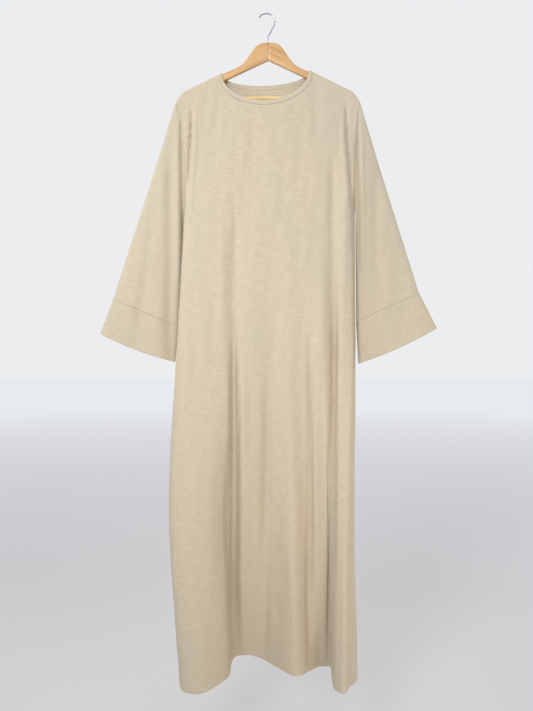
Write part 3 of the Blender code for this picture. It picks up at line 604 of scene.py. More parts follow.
# Creases of the front (face -1) and the back (1) in millimetres, on top of the folds of the plan:
# where each starts and ends, how far it bows sideways, its half width, and its depth, below zero
# for a ridge.
PANEL_CREASES = (
    # face, x and z of the start, x and z of the end, bow, half width, depth
    (-1, -87, -440, -87, -1080, 2, 11, 4.2),
    (-1, -88.5, -760, -87, -1740, 1, 7.6, 10),
    (-1, -105, -840, -109.5, -1640, 1, 8.5, -2.6),
    (-1, -113, -480, -115, -1300, -3, 14, -3.6),
    (-1, 164, -310, 166, -1060, -2, 9.5, 5.6),
    (-1, 166.5, -700, 162, -1500, 1, 6.8, 6.8),
    (-1, 177, -720, 173, -1520, 1, 7, -2.4),
    (-1, 188, -380, 187, -1200, 4, 11, -3.6),
    (-1, 133, -560, 133, -1250, 3, 15, -3),
    (-1, 103, -780, 107, -1760, 1, 7.5, 10),
    (-1, 13, -700, 25, -1720, -4, 25, 6),
    (-1, -4, -900, -10, -1760, 2, 11.5, 8),
    (-1, 145, -900, 145, -1800, 1, 12.5, -10.5),
    (-1, -64, -840, -64, -1780, 1, 12, -9.5),
    (-1, -198, -225, -207, -500, 1.5, 4, 7.5),
    (-1, -189, -250, -196, -560, 3, 6, -2.8),
    (-1, 201, -215, 212, -510, -3, 4, 7.8),
    (-1, 192, -245, 198, -540, -3, 6, -2.8),
    (-1, -184, -620, -192, -1200, -3, 13, 1.5),
    (-1, -164, -1020, -170, -1600, 5, 15, 1.8),
    (-1, -12, -1222, 33, -1290, 3, 6, 1.4),
    (-1, 6, -1505, 40, -1575, 3, 7, 1.5),
    (-1, -70, -1380, -56, -1640, 3, 8, 1.6),
    (-1, 43, -1380, 52, -1680, -3, 10, 1.4),
    (-1, 118, -1180, 123, -1660, 2, 8, -1.8),
    (-1, 179, -1150, 174, -1680, 2, 7, 1.6),
    (-1, -115, -205, -150, -420, -6, 12, 1.2),
    (-1, 105, -210, 140, -400, 6, 13, 1.2),
    (-1, -42, -260, -56, -620, 4, 18, 1),
    (-1, 52, -300, 60, -700, -3, 16, -1),
    (1, 90, -400, 87, -1240, 6, 15, 3.6),
    (1, 56, -520, 50, -1560, -4, 17, -2.6),
    (1, 12, -460, 23, -1380, 5, 14, 3),
    (1, -26, -760, -21, -1640, -3, 18, -2.2),
    (1, -88, -380, -93, -1160, -5, 14, 3.8),
    (1, -124, -560, -131, -1500, 4, 16, -2.4),
    (1, -162, -330, -174, -1180, 4, 12, 3.4),
    (1, 128, -500, 133, -1300, -4, 14, -2.2),
    (1, 158, -310, 166, -1100, 5, 12, 3.2),
    (1, -193, -270, -199, -520, 3, 5, 2.6),
    (1, 196, -255, 203, -500, -4, 5, 2.6),
    (1, 20, -1100, -15, -1190, 3, 7, 1.4),
    (1, -60, -1360, -52, -1655, 3, 9, 1.8),
    (1, 100, -1300, 108, -1655, -3, 9, 1.8),
    (1, -146, -1420, -154, -1660, 2, 8, -1.6),
)
CREASE_START = 0.22  # share of a crease over which it comes in, and dies away
CREASE_END = 0.30
CREASE_WIDTH = (0.8, 0.5)  # in half widths: its spread at the start, and what it gains by its end

# The cloth is never quite even: waves across and down, their heights and where they start.
WAVES = (
    # waves a metre across, down, height, start
    (9.0, 1.7, 0.00045, 0.3),
    (17.0, -2.6, 0.00032, 1.9),
    (31.0, 4.1, 0.00020, 4.4),
    (23.0, 9.7, 0.00016, 2.7),
    (6.0, 13.0, 0.00018, 5.2),
)


def linen_finish(name, dark, pale, cool):
    """Slubbed plain-woven linen: thick and thin threads each way, long lighter and darker slubs, a
    little cooler in large patches, with the weave itself as the smallest relief: a sine each way,
    multiplied."""
    made, shader, start = new_finish(name, Sheen_Weight=0.06, Sheen_Roughness=0.45)
    cut = start.node("ShaderNodeUVMap", {"uv_map": "cloth"})
    slubs = cut.noise(SLUBS_DOWN, 2.0) * 0.42 + cut.noise(SLUBS_ACROSS, 2.0) * 0.58
    slubs = slubs.spread(*SLUB_CONTRAST)
    threads = (cut.noise(THREADS_DOWN, 1.0) + cut.noise(THREADS_ACROSS, 1.0)) * 0.5
    threads = threads.spread(*THREAD_CONTRAST)
    patches = cut.noise(PATCHES, 2.0).spread(*PATCH_CONTRAST)
    tone = slubs * 0.62 + threads * 0.38
    axes = (cut.node("ShaderNodeSeparateXYZ", {}, {0: cut}, axis) for axis in (0, 1))
    u, v = (axis * (math.pi / THREAD_PITCH) for axis in axes)
    relief = u.sine() * v.sine() * 0.3 + slubs * 0.5 + threads * 0.5
    feed(
        shader, start,
        Base_Color=(patches * 0.35).mix(tone.mix(dark, pale), cool),
        Roughness=tone * -0.08 + 0.90,
        Normal=relief.bump(0.35, WEAVE_DEPTH),
    )
    return made


linen = linen_finish("linen", CLOTH_DARK, CLOTH_PALE, CLOTH_COOL)


def wrap(drop):
    """How far the cloth stands off the hanger's plane, this far below the shoulder line."""
    left = 1 - np.clip(drop / WRAP_DEPTH, 0, 1)
    return WRAP_DEPTH * (1 - left**WRAP_POWER) ** (1 / WRAP_POWER)


def ring_at(plan, places):
    """The body's plan through one height's points, read at these places in the table: a smooth
    closed curve, which starts two points early and ends three late, with its knots apart by the
    square root of the points' distances."""
    closed = np.vstack((plan[-2:], plan, plan[:3]))
    knots = run_length(closed, 0.5)
    return smooth(knots, closed, np.interp(places + 2, np.arange(len(closed)), knots))


def columns(first, counts):
    """The places of a stretch's columns in the table, from row first on, counts columns to each
    row."""
    places = [first + i + k / count for i, count in enumerate(counts) for k in range(count)]
    return np.array(places + [first + len(counts)], float)


def finer(values, times=REFINE):
    """These values with even steps put between each two: times as many."""
    at = np.linspace(0, len(values) - 1, (len(values) - 1) * times + 1)
    return np.interp(at, np.arange(len(values)), values)


def with_seam(places):
    """The places of columns from a seam inwards, with two more close to the seam."""
    return np.insert(places, 1, places[0] + (places[1] - places[0]) * np.array(SEAM_STEPS))


def neck_angles(drop):
    """Angles round half the neck's ellipse: the steps of the bend over each arm, and even ones
    between them. drop is how deep the neck's middle hangs."""
    bend = np.arcsin(np.array(WRAP_DROPS) / drop)
    between = np.linspace(bend[-1], math.pi - bend[-1], NECK_STEPS + 1)[1:-1]
    return np.concatenate((bend, between, math.pi - bend[::-1]))


def neck_curve(drop, outset):
    """x and z along the neck from left to right, outset from its edge: half an ellipse on the
    slope between its two ends on the shoulder line."""
    angles = finer(neck_angles(drop))
    half_width = NECK_HALF_WIDTH + outset
    x = NECK_CENTRE - half_width * np.cos(angles)
    ends = shoulder_height(NECK_CENTRE + half_width * np.array((-1, 1)))
    along = (x - x[0]) / (x[-1] - x[0])
    z = ends[0] + (ends[1] - ends[0]) * along - (drop + outset) * np.sin(angles)
    return x, z


def grid_normals(middle, closed=False):
    """Outward normals of a grid: across its rows, then its columns."""
    down = np.gradient(middle, axis=0)
    if closed:
        along = np.roll(middle, -1, axis=1) - np.roll(middle, 1, axis=1)
    else:
        along = np.gradient(middle, axis=1)
    return unit(np.cross(down, along))


def plan_at(places):
    """x, y at the chest, hip and knee, and x, y, z at the hem, at each column's place in the
    table."""
    numbers = np.array([row[1:] for row in BODY_PLAN]) / 1000
    levels = [ring_at(numbers[:, 2 * i : 2 * i + 2], places) for i in range(len(LEVELS))]
    return levels, ring_at(numbers[:, 2 * len(LEVELS) :], places)


def skirt_points(places, heights):
    """Points of the body's tube below the chest: each column runs smoothly through its places at
    the four heights of the plan."""
    levels, hem = plan_at(places)
    points = np.empty(heights.shape + (3,))
    for column, line in enumerate(heights.T):
        depths = [-level for level in LEVELS] + [-hem[column, 2]]
        through = [level[column] for level in levels] + [hem[column, :2]]
        points[:, column, :2] = smooth(depths, through, -line)
    points[..., 2] = heights
    return points


def stand_off(side, x, heights, edge, chest_y):
    """y above the chest: the bend over the arm gives way to the chest's own place, by a power of
    the way down. side is -1 for the front. edge is 1 at the armhole and dies away inwards."""
    drop = shoulder_height(x) - heights
    share = np.clip(drop / (shoulder_height(x) - CHEST), 0, 1)
    share = share ** (CHEST_POWER + (CHEST_POWER_EDGE - CHEST_POWER) * edge)
    return side * wrap(drop) * (1 - share) + chest_y * share


def upper_normals(side, x, heights, edge, chest_y):
    """Outward normals of the cloth above the chest, from the slopes of stand_off across and up."""

    def slope(dx, dz):
        after, before = (
            stand_off(side, x + way * dx, heights + way * dz, edge, chest_y) for way in (1, -1)
        )
        return (after - before) / (2 * NORMAL_STEP)

    slope_x, slope_z = slope(NORMAL_STEP, 0.0), slope(0.0, NORMAL_STEP)
    return unit(side * np.stack((-slope_x, np.ones_like(slope_x), -slope_z), -1))


def row_heights(top, hem):
    """Heights of the rows of cloth from its top to the hem, for each column."""
    bend = top - ROW_DROPS[:, None]
    chest = bend[-1] + (CHEST - bend[-1]) * np.linspace(0, 1, CHEST_ROWS + 1)[1:, None]
    skirt = CHEST + (hem + HEM_ROWS[0] - CHEST) * np.linspace(0, 1, SKIRT_ROWS + 1)[1:, None]
    return np.concatenate((bend, chest, skirt, hem + np.array(HEM_ROWS[1:])[:, None]))


ROW_DROPS = finer(WRAP_DROPS, BEND_REFINE)
CHEST_ROW = len(ROW_DROPS) + CHEST_ROWS - 1


def panel(side, stretches, drop):
    """The middle layer of the front (side -1) or back (side 1): grid of points, its normals, and
    what the neck band needs of the columns along the neck."""
    first, neck, last = (finer(columns(*stretch)) for stretch in stretches)
    first, last = with_seam(first), with_seam(last[::-1])[::-1]
    places = np.concatenate((first[:-1], neck, last[1:]))
    start, end = len(first) - 1, len(first) - 1 + len(neck)
    levels, hem = plan_at(places)
    chest = levels[0]
    across = -side  # the front runs towards +X, the back towards -X
    neck_x, neck_z = (line[::across] for line in neck_curve(drop, NECK_BAND_WIDTH + SEAM_GAP))
    ends = (SHOULDER[0][0], SHOULDER[-1][0])[::across]
    top_x = np.empty(len(places))
    top_x[start:end] = neck_x
    top_x[:start] = ends[0] + (neck_x[0] - ends[0]) * (
        (chest[:start, 0] - chest[0, 0]) / (chest[start, 0] - chest[0, 0])
    )
    top_x[end:] = neck_x[-1] + (ends[1] - neck_x[-1]) * (
        (chest[end:, 0] - chest[end - 1, 0]) / (chest[-1, 0] - chest[end - 1, 0])
    )
    top_z = shoulder_height(top_x)
    top_z[start:end] = neck_z
    from_armhole = abs(chest[:, :1] - chest[[0, -1], 0]).min(axis=1)
    edge = np.exp(-from_armhole / ARMHOLE_REACH)
    heights = row_heights(top_z, hem[:, 2])
    upper = heights[: CHEST_ROW + 1]
    fall = (top_z - upper) / (top_z - CHEST)
    x = chest[:, 0] + (top_x - chest[:, 0]) * (1 - fall) ** (1 + (ARMHOLE_PULL - 1) * edge)
    y = stand_off(side, x, upper, edge, chest[:, 1])
    if side > 0:
        y = y + ARMHOLE_GAPE * edge * np.sin(math.pi * fall)
    lower = heights[CHEST_ROW:]
    wider = np.concatenate((places[:1] - GHOST, places, places[-1:] + GHOST))
    skirt = skirt_points(wider, np.hstack((lower[:, :1], lower, lower[:, -1:])))
    middle = np.concatenate((np.stack((x, y, upper), -1), skirt[1:, 1:-1]))
    upper_side = upper_normals(side, x, upper, edge, chest[:, 1])
    normals = np.concatenate((upper_side, grid_normals(skirt)[1:, 1:-1]))
    return middle, normals, (start, end, edge[start:end], chest[start:end, 1])


def shoulder_normals(x):
    """The directions square to the shoulder line."""
    rise = shoulder_height(x + SHOULDER_STEP) - shoulder_height(x - SHOULDER_STEP)
    slope = rise / (2 * SHOULDER_STEP)
    return unit(np.stack((-slope, np.zeros_like(x), np.ones_like(x)), -1))


def armhole(side, front, back):
    """The armhole's loop of points, its outward normals, and the way from the body into the
    sleeve. side is -1 at the viewer's left. The loop runs down the front and up the back."""
    loop = np.concatenate((front[: CHEST_ROW + 1], back[1:CHEST_ROW][::-1]))
    tangent = unit((np.roll(loop, -1, axis=0) - np.roll(loop, 1, axis=0)) * (0, 1, 1))
    out_y, out_z = tangent[:, 2], -tangent[:, 1]
    out_y[[0, CHEST_ROW]] = 0.0
    out_z[[0, CHEST_ROW]] = 1.0, -1.0
    out, down = SLEEVE_LEAN
    fold = unit(np.array((side * out, 0.0, -down)))
    upward = np.array((side * down, 0.0, out))
    rise, fall = np.clip(out_z, 0, 1)[:, None], np.clip(-out_z, 0, 1)[:, None]
    normals = unit(out_y[:, None] * (0, 1, 0) + rise * upward + fall * (0, 0, -1))
    outward = unit(rise * fold + (1 - rise) * (side, 0, 0))
    return loop, normals, outward


def sew(side, front, front_normals, back, back_normals):
    """Sets the edges of front and back on one side a seam's gap apart, with the normals that they
    share, and gives the armhole's loop before that."""
    front_edge, back_edge = (0, -1) if side < 0 else (-1, 0)
    loop, normals, outward = armhole(side, front[:, front_edge], back[:, back_edge])
    down = np.arange(CHEST_ROW + 1)
    half = SEAM_GAP / 2
    for face, grid, grid_of_normals, edge, ring in (
        (-1, front, front_normals, front_edge, down),
        (1, back, back_normals, back_edge, -down % len(loop)),
    ):
        inward = grid[CHEST_ROW + 1 :, 1 if edge == 0 else -2] - grid[CHEST_ROW + 1 :, edge]
        grid[CHEST_ROW + 1 :, edge] += unit(inward * (1, 1, 0)) * half
        grid[: CHEST_ROW + 1, edge] -= outward[ring] * half
        grid[CHEST_ROW, edge, 1] += face * half
        grid_of_normals[: CHEST_ROW + 1, edge] = normals[ring]
    return loop, normals, outward


def ease(share):
    """0 to 1 with a soft start and end."""
    share = np.clip(share, 0, 1)
    return share * share * (3 - 2 * share)


def crease_depth(face, x, z):
    """How far the creases press the cloth in: each a bell across its bowed line, fading at both
    ends."""
    depth = np.zeros_like(x)
    for side, *row in PANEL_CREASES:
        if side == face:
            start_x, start_z, end_x, end_z, bow, half_width, deep = np.array(row) / 1000
            share = np.clip((z - start_z) / (end_z - start_z), 0, 1)
            line = start_x + (end_x - start_x) * share + bow * np.sin(2 * math.pi * share)
            lean = math.cos(math.atan2(end_x - start_x, end_z - start_z))
            spread = half_width * (CREASE_WIDTH[0] + CREASE_WIDTH[1] * share)
            fade = ease(share / CREASE_START) * ease((1 - share) / CREASE_END)
            depth += deep * fade * np.exp(-(((x - line) * lean / spread) ** 2))
    return depth


def unevenness(x, z):
    """The sum of the waves at these places."""
    return sum(
        height * np.sin(2 * math.pi * (across * x + down * z) + begin)
        for across, down, height, begin in WAVES
    )


def rolled(distance):
    """Share of the cloth's thickness this far in from a sewn edge, which a quarter of an ellipse
    rounds."""
    left = 1 - np.clip(distance / ROLL, 0, 1)
    return EDGE_SHARE + (1 - EDGE_SHARE) * np.sqrt(1 - left**2)


def add_cloth(name, middle, normals, outside, inside, cut, finish, node, closed=False):
    """A wall of cloth on a grid of points of its middle layer, rows first: the grid moved out
    along its normals by outside and in by inside, and closed along its edges. cut gives each
    point's place on the flat cloth, with one column more where closed joins each row into a
    ring."""
    rows, across = middle.shape[:2]
    outer = middle + normals * (outside * np.ones((rows, across)))[..., None]
    inner = middle - normals * (inside * np.ones((rows, across)))[..., None]
    r, c = np.indices((rows - 1, cut.shape[1] - 1)).reshape(2, -1)
    skin = np.stack((r, c, r + 1, c, r + 1, c + 1, r, c + 1), -1).reshape(-1, 4, 2)
    c = np.arange(cut.shape[1] - 1)
    top, bottom = 0 * c, 0 * c + rows - 1
    rim = [np.stack((top, c, top, c + 1), -1), np.stack((bottom, c + 1, bottom, c), -1)]
    if not closed:
        r = np.arange(rows - 1)
        left, right = 0 * r, 0 * r + across - 1
        rim += [np.stack((r, right, r + 1, right), -1), np.stack((r + 1, left, r, left), -1)]
    rim = np.concatenate(rim).reshape(-1, 2, 2)[:, [0, 1, 1, 0]]
    corners = np.concatenate((skin, skin[:, ::-1], rim))
    layer = np.zeros(corners.shape[:2], int)
    layer[len(skin) : 2 * len(skin)] = 1
    layer[2 * len(skin) :, 2:] = 1
    faces = layer * rows * across + corners[..., 0] * across + corners[..., 1] % across
    points = np.concatenate((outer.reshape(-1, 3), inner.reshape(-1, 3)))
    uv = cut[corners[..., 0], corners[..., 1]]
    return add_piece(name, points.tolist(), faces.tolist(), finish, node, uv)


def distance_across(grid, start):
    """Distance along each row of a grid from its column start, negative before it."""
    steps = np.linalg.norm(np.diff(grid, axis=1), axis=-1)
    along = np.concatenate((np.zeros((len(grid), 1)), np.cumsum(steps, axis=1)), axis=1)
    return along - along[:, start : start + 1] if start else along


def finish_panel(name, face, grid, normals, neck):
    """Presses the creases into a panel, away from its seams, and gives it its wall and turned hem.
    Gives the line of the hem's stitches on its outer side, and the normals there."""
    across = distance_across(grid, 0)
    from_seam = np.minimum(across, across[:, -1:] - across)
    x, z = grid[..., 0], grid[..., 2]
    drop = shoulder_height(x) - z
    at_neck = slice(neck[0], neck[1])
    below_neck = z[0, at_neck] - z[:, at_neck]
    free = ease(from_seam / SEAM_CALM) * ease((drop - WRAP_DEPTH) / NECK_CALM)
    free[:, at_neck] *= ease(below_neck / NECK_CALM)
    moved = unevenness(x * face, z) - crease_depth(face, x, z)
    grid = grid + normals * (moved * free)[..., None]
    outside = CLOTH / 2 * rolled(from_seam)
    outside[:, at_neck] *= NECK_EDGE_SHARE + (1 - NECK_EDGE_SHARE) * rolled(below_neck)
    outside[STITCH_ROW] -= STITCH_BITE
    inside = np.full(grid.shape[:2], CLOTH / 2)
    inside[-len(HEM_ROWS) + 1 :] += CLOTH
    for layer in (outside, inside):
        layer[-len(HEM_FOLD) :] *= np.array(HEM_FOLD)[:, None]
    centre = grid.shape[1] // 2
    cut = np.stack((distance_across(grid, centre), grid[..., 2]), -1)
    cloth = add_cloth(name + "_panel", grid, normals, outside, inside, cut, linen, name)
    out = normals[STITCH_ROW]
    return grid[STITCH_ROW] + out * outside[STITCH_ROW][:, None], out


front, front_normals, front_neck = panel(-1, FRONT_STRETCHES, NECK_FRONT_DROP)
back, back_normals, back_neck = panel(1, BACK_STRETCHES, NECK_BACK_DROP)
loops = [sew(side, front, front_normals, back, back_normals) for side in (-1, 1)]
hem_lines = []
for panel_name, face, grid, normals, neck, cut_size in (
    ("front", -1, front, front_normals, front_neck, FRONT_CUT),
    ("back", 1, back, back_normals, back_neck, BACK_CUT),
):
    for part in (slice(1, neck[0] + 1), slice(neck[1] - 1, -1)):
        normals[0, part] = shoulder_normals(grid[0, part, 0])
    for part in (slice(0, neck[0] + 1), slice(neck[1] - 1, None)):
        grid[0, part, 1] += face * SEAM_GAP / 2
    hem_lines.append(finish_panel(panel_name, face, grid, normals, neck))

# The stitches of the hem: one row of lockstitch in thread of the cloth's tone, a little above the
# edge, each stitch sunk between its two holes.
STITCH = 0.0031  # from one stitch's start to the next
STITCH_LENGTH = 0.0027
THREAD_RADIUS = 0.00026
THREAD_SHAPE = (
    # share of the stitch's length, thickness, how far it stands off the cloth
    (0.00, 0.35, -0.7),
    (0.14, 0.90, 0.1),
    (0.50, 1.00, 0.5),
    (0.86, 0.90, 0.1),
    (1.00, 0.35, -0.7),
)
THREAD_SIDES = 6
THREAD_DARK = (0.50, 0.42, 0.31)
THREAD_PALE = (0.72, 0.64, 0.50)
FIBRES = (900, 900, 900)  # a metre each way
FIBRE_DEPTH = 0.0001


def thread_finish(name, dark, pale):
    """Spun thread: lighter and darker in small spots, which its relief follows."""
    made, shader, start = new_finish(name, Sheen_Weight=0.15)
    fibre = object_place(start).noise(FIBRES, 2.0)
    feed(
        shader, start,
        Base_Color=fibre.mix(dark, pale),
        Roughness=fibre * 0.1 + 0.75,
        Normal=fibre.bump(0.3, FIBRE_DEPTH),
    )
    return made


def add_stitches(name, line, normals, finish):
    """A stitch every step along a line on the cloth: short closed tubes whose middle stands up.
    All are one array: stitches by rings along each by points round a ring."""
    length = run_length(line)
    share, thick, rise = np.array(THREAD_SHAPE).T
    starts = np.arange(STITCH, length[-1] - STITCH, STITCH)
    at = starts[:, None] + share * STITCH_LENGTH
    centre, out, way = (
        np.stack([np.interp(at, length, values[:, axis]) for axis in range(3)], -1)
        for values in (line, normals, unit(np.gradient(line, axis=0)))
    )
    beside = unit(np.cross(way, out))
    centre = centre + out * (rise * THREAD_RADIUS)[:, None]
    turn = circle(THREAD_SIDES)[:, None]
    around = out[:, :, None] * np.cos(turn) + beside[:, :, None] * np.sin(turn)
    rings = centre[:, :, None] + around * (thick * THREAD_RADIUS)[:, None, None]
    faces = tube_faces(len(THREAD_SHAPE), THREAD_SIDES, len(starts))
    faces = [face[::-1] for face in faces]  # outwards
    return add_piece(name, rings.reshape(-1, 3).tolist(), faces, finish, None)


thread = thread_finish("thread", THREAD_DARK, THREAD_PALE)
for stitch_name, (line, normals) in zip(("hem_stitches_front", "hem_stitches_back"), hem_lines):
    add_stitches(stitch_name, line, normals, thread)

# The sleeves and cuffs: each sleeve one wide piece of the same cloth closed along the underarm,
# hanging flat from the hanger's end, and each cuff a deep straight band of double cloth seamed to
# it.
SLEEVES = (
    # name, then x and z of the upper fold and of the under seam: at the cuff seam, at the cuff's
    # edge
    ("left", -0.4010, -0.7330, -0.2340, -0.8050, -0.4340, -0.8240, -0.2425, -0.8960),
    ("right", 0.3890, -0.7180, 0.2278, -0.7910, 0.4350, -0.8090, 0.2340, -0.9000),
)
UNDERARM_TURN = 0.0035  # how far the under seam swings off the body just below the underarm
SLEEVE_HALF_DEPTH = 0.013
SLEEVE_BACK = 0.008  # the sleeve's middle lies this far behind the hanger's plane
SLEEVE_EDGE_POWER = 2.5
SLEEVE_STATIONS = (0.0, 0.03, 0.08, 0.16, 0.27, 0.40, 0.54, 0.69, 0.84, 1.0)
SLEEVE_REFINE = 8
SLEEVE_SETTLE = 0.35  # share of the sleeve's length over which the armhole's shape dies away
UNDERARM_FREE = 0.08  # share of it at which the under seam is clear of the body
# Long soft hollows of the sleeves' fronts (face -1) and backs (1), in millimetres.
SLEEVE_FOLDS = (
    # sleeve, face, x at the top and at the bottom, z at the top and at the bottom, half width,
    # depth
    ("left", -1, -252, -256, -300, -840, 13, 7),
    ("left", -1, -290, -330, -420, -780, 20, 3),
    ("left", 1, -265, -290, -360, -800, 16, 5),
    ("right", -1, 276, 280, -400, -700, 14, 5),
    ("right", -1, 305, 350, -500, -800, 22, 3),
    ("right", 1, 260, 285, -340, -780, 16, 5),
    ("left", -1, -225, -221, -235, -600, 4, 5.6),
    ("left", -1, -235, -233, -270, -640, 5.5, -3),
    ("left", -1, -310, -362, -560, -810, 15, -1.6),
    ("left", 1, -230, -235, -280, -600, 5, 2.2),
    ("left", 1, -305, -350, -500, -820, 18, 2.6),
    ("right", -1, 229, 231, -235, -590, 4, 5.6),
    ("right", -1, 239, 245, -270, -640, 5.5, -3),
    ("right", -1, 330, 370, -600, -800, 14, 1.4),
    ("right", 1, 232, 238, -290, -590, 5, 2.2),
    ("right", 1, 300, 345, -520, -800, 19, 2.6),
)
FOLD_FADE = 0.25  # share of its length over which a hollow comes in, and past it dies away
WAVE_CALM = 6  # power by which the waves die away towards the sleeve's two long edges
CUFF_CLOTH = 0.0028  # double cloth
CUFF_FOLD_SHARE = 0.35  # least share of the thickness round the fold of the cuff's edge
CUFF_SHIFT = 0.5  # moves the weave on, so that the cuff doesn't repeat the sleeve's slubs
CUFF_BOW = 0.006  # the cuff's edge hangs lower by this at its middle
# Where the rings lie, in shares of the sleeve and the cuff, closer at seams and at the cuff's
# edge.
SEAM_SHARES = np.array((0.0018, 0.0045))
INNER_SHARES = finer(SLEEVE_STATIONS, SLEEVE_REFINE)[1:-1]
FINE_SLEEVE = np.concatenate(((0,), SEAM_SHARES, INNER_SHARES, 1 - SEAM_SHARES[::-1], (1,)))
FINE_CUFF = np.array((0, 0.006, 0.015, *np.linspace(0.03, 0.97, 36), 0.985, 0.992, 0.997, 1))
SLEEVE_CUTS = (
    # flat width and length of the sleeve and its area, then the cuff's, all round the arm
    ((0.363, 0.530, 0.1215), (0.420, 0.100, 0.039)),
    ((0.341, 0.516, 0.1055), (0.444, 0.108, 0.043)),
)


def sleeve_rings(side, row, loop):
    """Rings of the sleeve from the armhole down, then of the cuff, and each column's face. A ring
    runs from the upper fold to the under seam and back, its depth a superellipse's. The first
    rings still have some of the armhole's own shape, which settles into the plain one."""
    ends = np.reshape(row[1:], (2, 2, 2))  # cuff seam or edge, upper fold or under seam, x or z
    upper = np.array((loop[0, ::2], *ends[:, 0]))
    under = np.array((loop[CHEST_ROW, ::2], *ends[:, 1]))
    count = len(loop)
    half = count // 2
    index = np.arange(count)
    along = np.where(index <= half, index, count - index) / half
    face = np.where(index <= half, -1.0, 1.0)
    even = (1 - np.cos(math.pi * along)) / 2
    first = (loop[0, 2] - loop[:, 2]) / (loop[0, 2] - loop[CHEST_ROW, 2])
    rings = []
    for station in np.concatenate((FINE_SLEEVE, 1 + FINE_CUFF)):
        piece = min(int(station), 1) if station != 1 else 0
        share = station - piece
        fold, seam = (way[piece] + (way[piece + 1] - way[piece]) * share for way in (upper, under))
        near = min(station, 1.0)
        swing = side * UNDERARM_TURN * min(1.0, near / UNDERARM_FREE) * (1 - near)
        settle = min(1.0, near / SLEEVE_SETTLE)
        down = first + (even - first) * settle
        place = fold + (seam + (swing, 0.0) - fold) * down[:, None]
        depth = SLEEVE_HALF_DEPTH * (1 - abs(2 * down - 1) ** SLEEVE_EDGE_POWER) ** 0.5
        ring = np.stack((place[:, 0], SLEEVE_BACK * settle + face * depth, place[:, 1]), -1)
        if station == 0:
            offset = loop - ring
        rings.append(ring + offset * (1 - settle))
    return np.array(rings), face


def press_folds(name, rings, face):
    """The long soft hollows, pressed into the sleeve's front or back by their distance from
    each."""
    x, z = rings[..., 0], rings[..., 2]
    for sleeve, side, *row in SLEEVE_FOLDS:
        if sleeve == name:
            top_x, bottom_x, top_z, bottom_z, half_width, depth = np.array(row) / 1000
            share = (z - top_z) / (bottom_z - top_z)
            across = (x - top_x - (bottom_x - top_x) * share) / half_width
            fade = np.clip(np.minimum(share, 1 + FOLD_FADE - share) / FOLD_FADE, 0, 1)
            rings[..., 1] -= side * depth * (face == side) * np.exp(-(across**2)) * fade
    return rings


def tube_cut(rings):
    """Places on the flat cloth round a tube's rings: the way round from the first column, and the
    way down the rings' middles."""
    around = distance_across(np.concatenate((rings, rings[:, :1]), axis=1), 0)
    return np.stack((around, 0 * around - run_length(rings.mean(axis=1))[:, None]), -1)


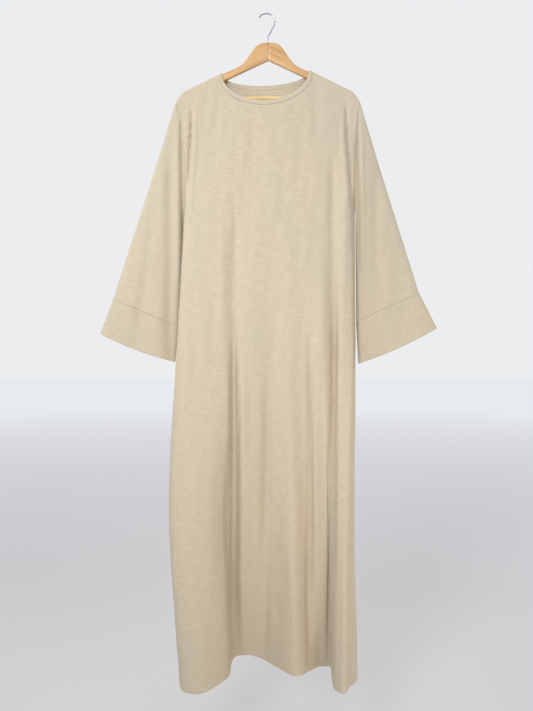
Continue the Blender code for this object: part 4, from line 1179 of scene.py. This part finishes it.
for side, row, (loop, loop_normals, outward), cuts in zip((-1, 1), SLEEVES, loops, SLEEVE_CUTS):
    rings, face = sleeve_rings(side, row, loop)
    rings = press_folds(row[0], rings, face)
    calm = np.concatenate((ease(FINE_SLEEVE / SLEEVE_SETTLE), np.ones(len(FINE_CUFF))))[:, None]
    half = rings.shape[1] // 2
    edges = 1 - abs(np.linspace(-1, 1, half, endpoint=False)) ** WAVE_CALM
    waves = unevenness(rings[..., 0] * face, rings[..., 2])
    rings[..., 1] += face * waves * calm * np.tile(edges, 2)
    sleeve, cuff = rings[: len(FINE_SLEEVE)], rings[len(FINE_SLEEVE) :]
    upper_x, under_x = cuff[:, :1, 0], cuff[:, half : half + 1, 0]
    bow = np.sin(math.pi * (cuff[..., 0] - upper_x) / (under_x - upper_x))
    cuff[..., 2] -= CUFF_BOW * bow * FINE_CUFF[:, None] ** 2
    axis = unit(cuff[-1].mean(axis=0) - cuff[0].mean(axis=0))
    tangent = np.roll(cuff[0], -1, axis=0) - np.roll(cuff[0], 1, axis=0)
    # The loop's direction is mirrored at the right, so its cross products point inwards there.
    sleeve_normals = -side * grid_normals(sleeve, True)
    cuff_normals = -side * grid_normals(cuff, True)
    sleeve_normals[0] = loop_normals
    sleeve_normals[-1] = cuff_normals[0] = -side * unit(np.cross(axis, tangent))
    sleeve[0] += outward * SEAM_GAP / 2
    sleeve[-1] -= axis * SEAM_GAP / 2
    cuff[0] += axis * SEAM_GAP / 2
    sleeve, cuff, sleeve_normals, cuff_normals = (
        grid[:, ::-side] for grid in (sleeve, cuff, sleeve_normals, cuff_normals)
    )
    sleeve_length, cuff_length = (run_length(grid.mean(axis=1))[-1] for grid in (sleeve, cuff))
    from_seam = np.minimum(FINE_SLEEVE, 1 - FINE_SLEEVE)[:, None] * sleeve_length
    cloth = add_cloth(
        row[0] + "_sleeve", sleeve, sleeve_normals, CLOTH / 2 * rolled(from_seam), CLOTH / 2,
        tube_cut(sleeve), linen, "sleeve_" + row[0], True,
    )
    to_edge = np.clip((1 - FINE_CUFF) * cuff_length / (CUFF_CLOTH / 2), 0, 1)
    fold = np.maximum(np.sqrt(1 - (1 - to_edge) ** 2), CUFF_FOLD_SHARE)[:, None]
    inside = CUFF_CLOTH / 2 * fold
    outside = inside * rolled(FINE_CUFF[:, None] * cuff_length)
    cloth = add_cloth(
        row[0] + "_cuff", cuff, cuff_normals, outside, inside,
        tube_cut(cuff) + CUFF_SHIFT, linen, "cuff_" + row[0], True,
    )

# The neck band: a narrow strip of the same cloth, folded double over the neck's raw edge and sewn
# down along its outer side.
BAND_CLOTH = 0.0026
BAND_OUTSETS = (0.0, 0.0002, 0.0006, 0.0014, 0.0026, 0.0040, 0.0056, 0.0068, 0.0075, 0.0080)
BAND_ROUND = (0.40, 0.72, 0.95, 1.0, 0.98, 0.96, 0.92, 0.86, 0.76, 0.58)  # its fullness there
BAND_SHIFT = 0.3  # moves the weave on from the front's

rows, normals = [], []
halves = ((-1, NECK_FRONT_DROP, *front_neck[2:]), (1, NECK_BACK_DROP, *back_neck[2:]))
for outset in BAND_OUTSETS:
    for side, drop, edge, chest_y in halves:
        x, z = (line[::-side] for line in neck_curve(drop, outset))
        y = stand_off(side, x, z, edge, chest_y)
        rows.append(np.stack((x, y, z), -1)[:-1])
        normals.append(upper_normals(side, x, z, edge, chest_y)[:-1])
shape = (len(BAND_OUTSETS), -1, 3)
middle, normals = np.concatenate(rows).reshape(shape), np.concatenate(normals).reshape(shape)
ends = [0, len(front_neck[2]) - 1]  # the columns on the two shoulders
normals[:, ends] = shoulder_normals(middle[:, ends, 0])
fullness = np.array(BAND_ROUND)[:, None]
band = add_cloth(
    "band", middle, normals, CLOTH / 2 + (BAND_CLOTH - CLOTH) * fullness, CLOTH / 2 * fullness,
    tube_cut(middle)[..., ::-1] + BAND_SHIFT, linen, "neck_band", True,
)
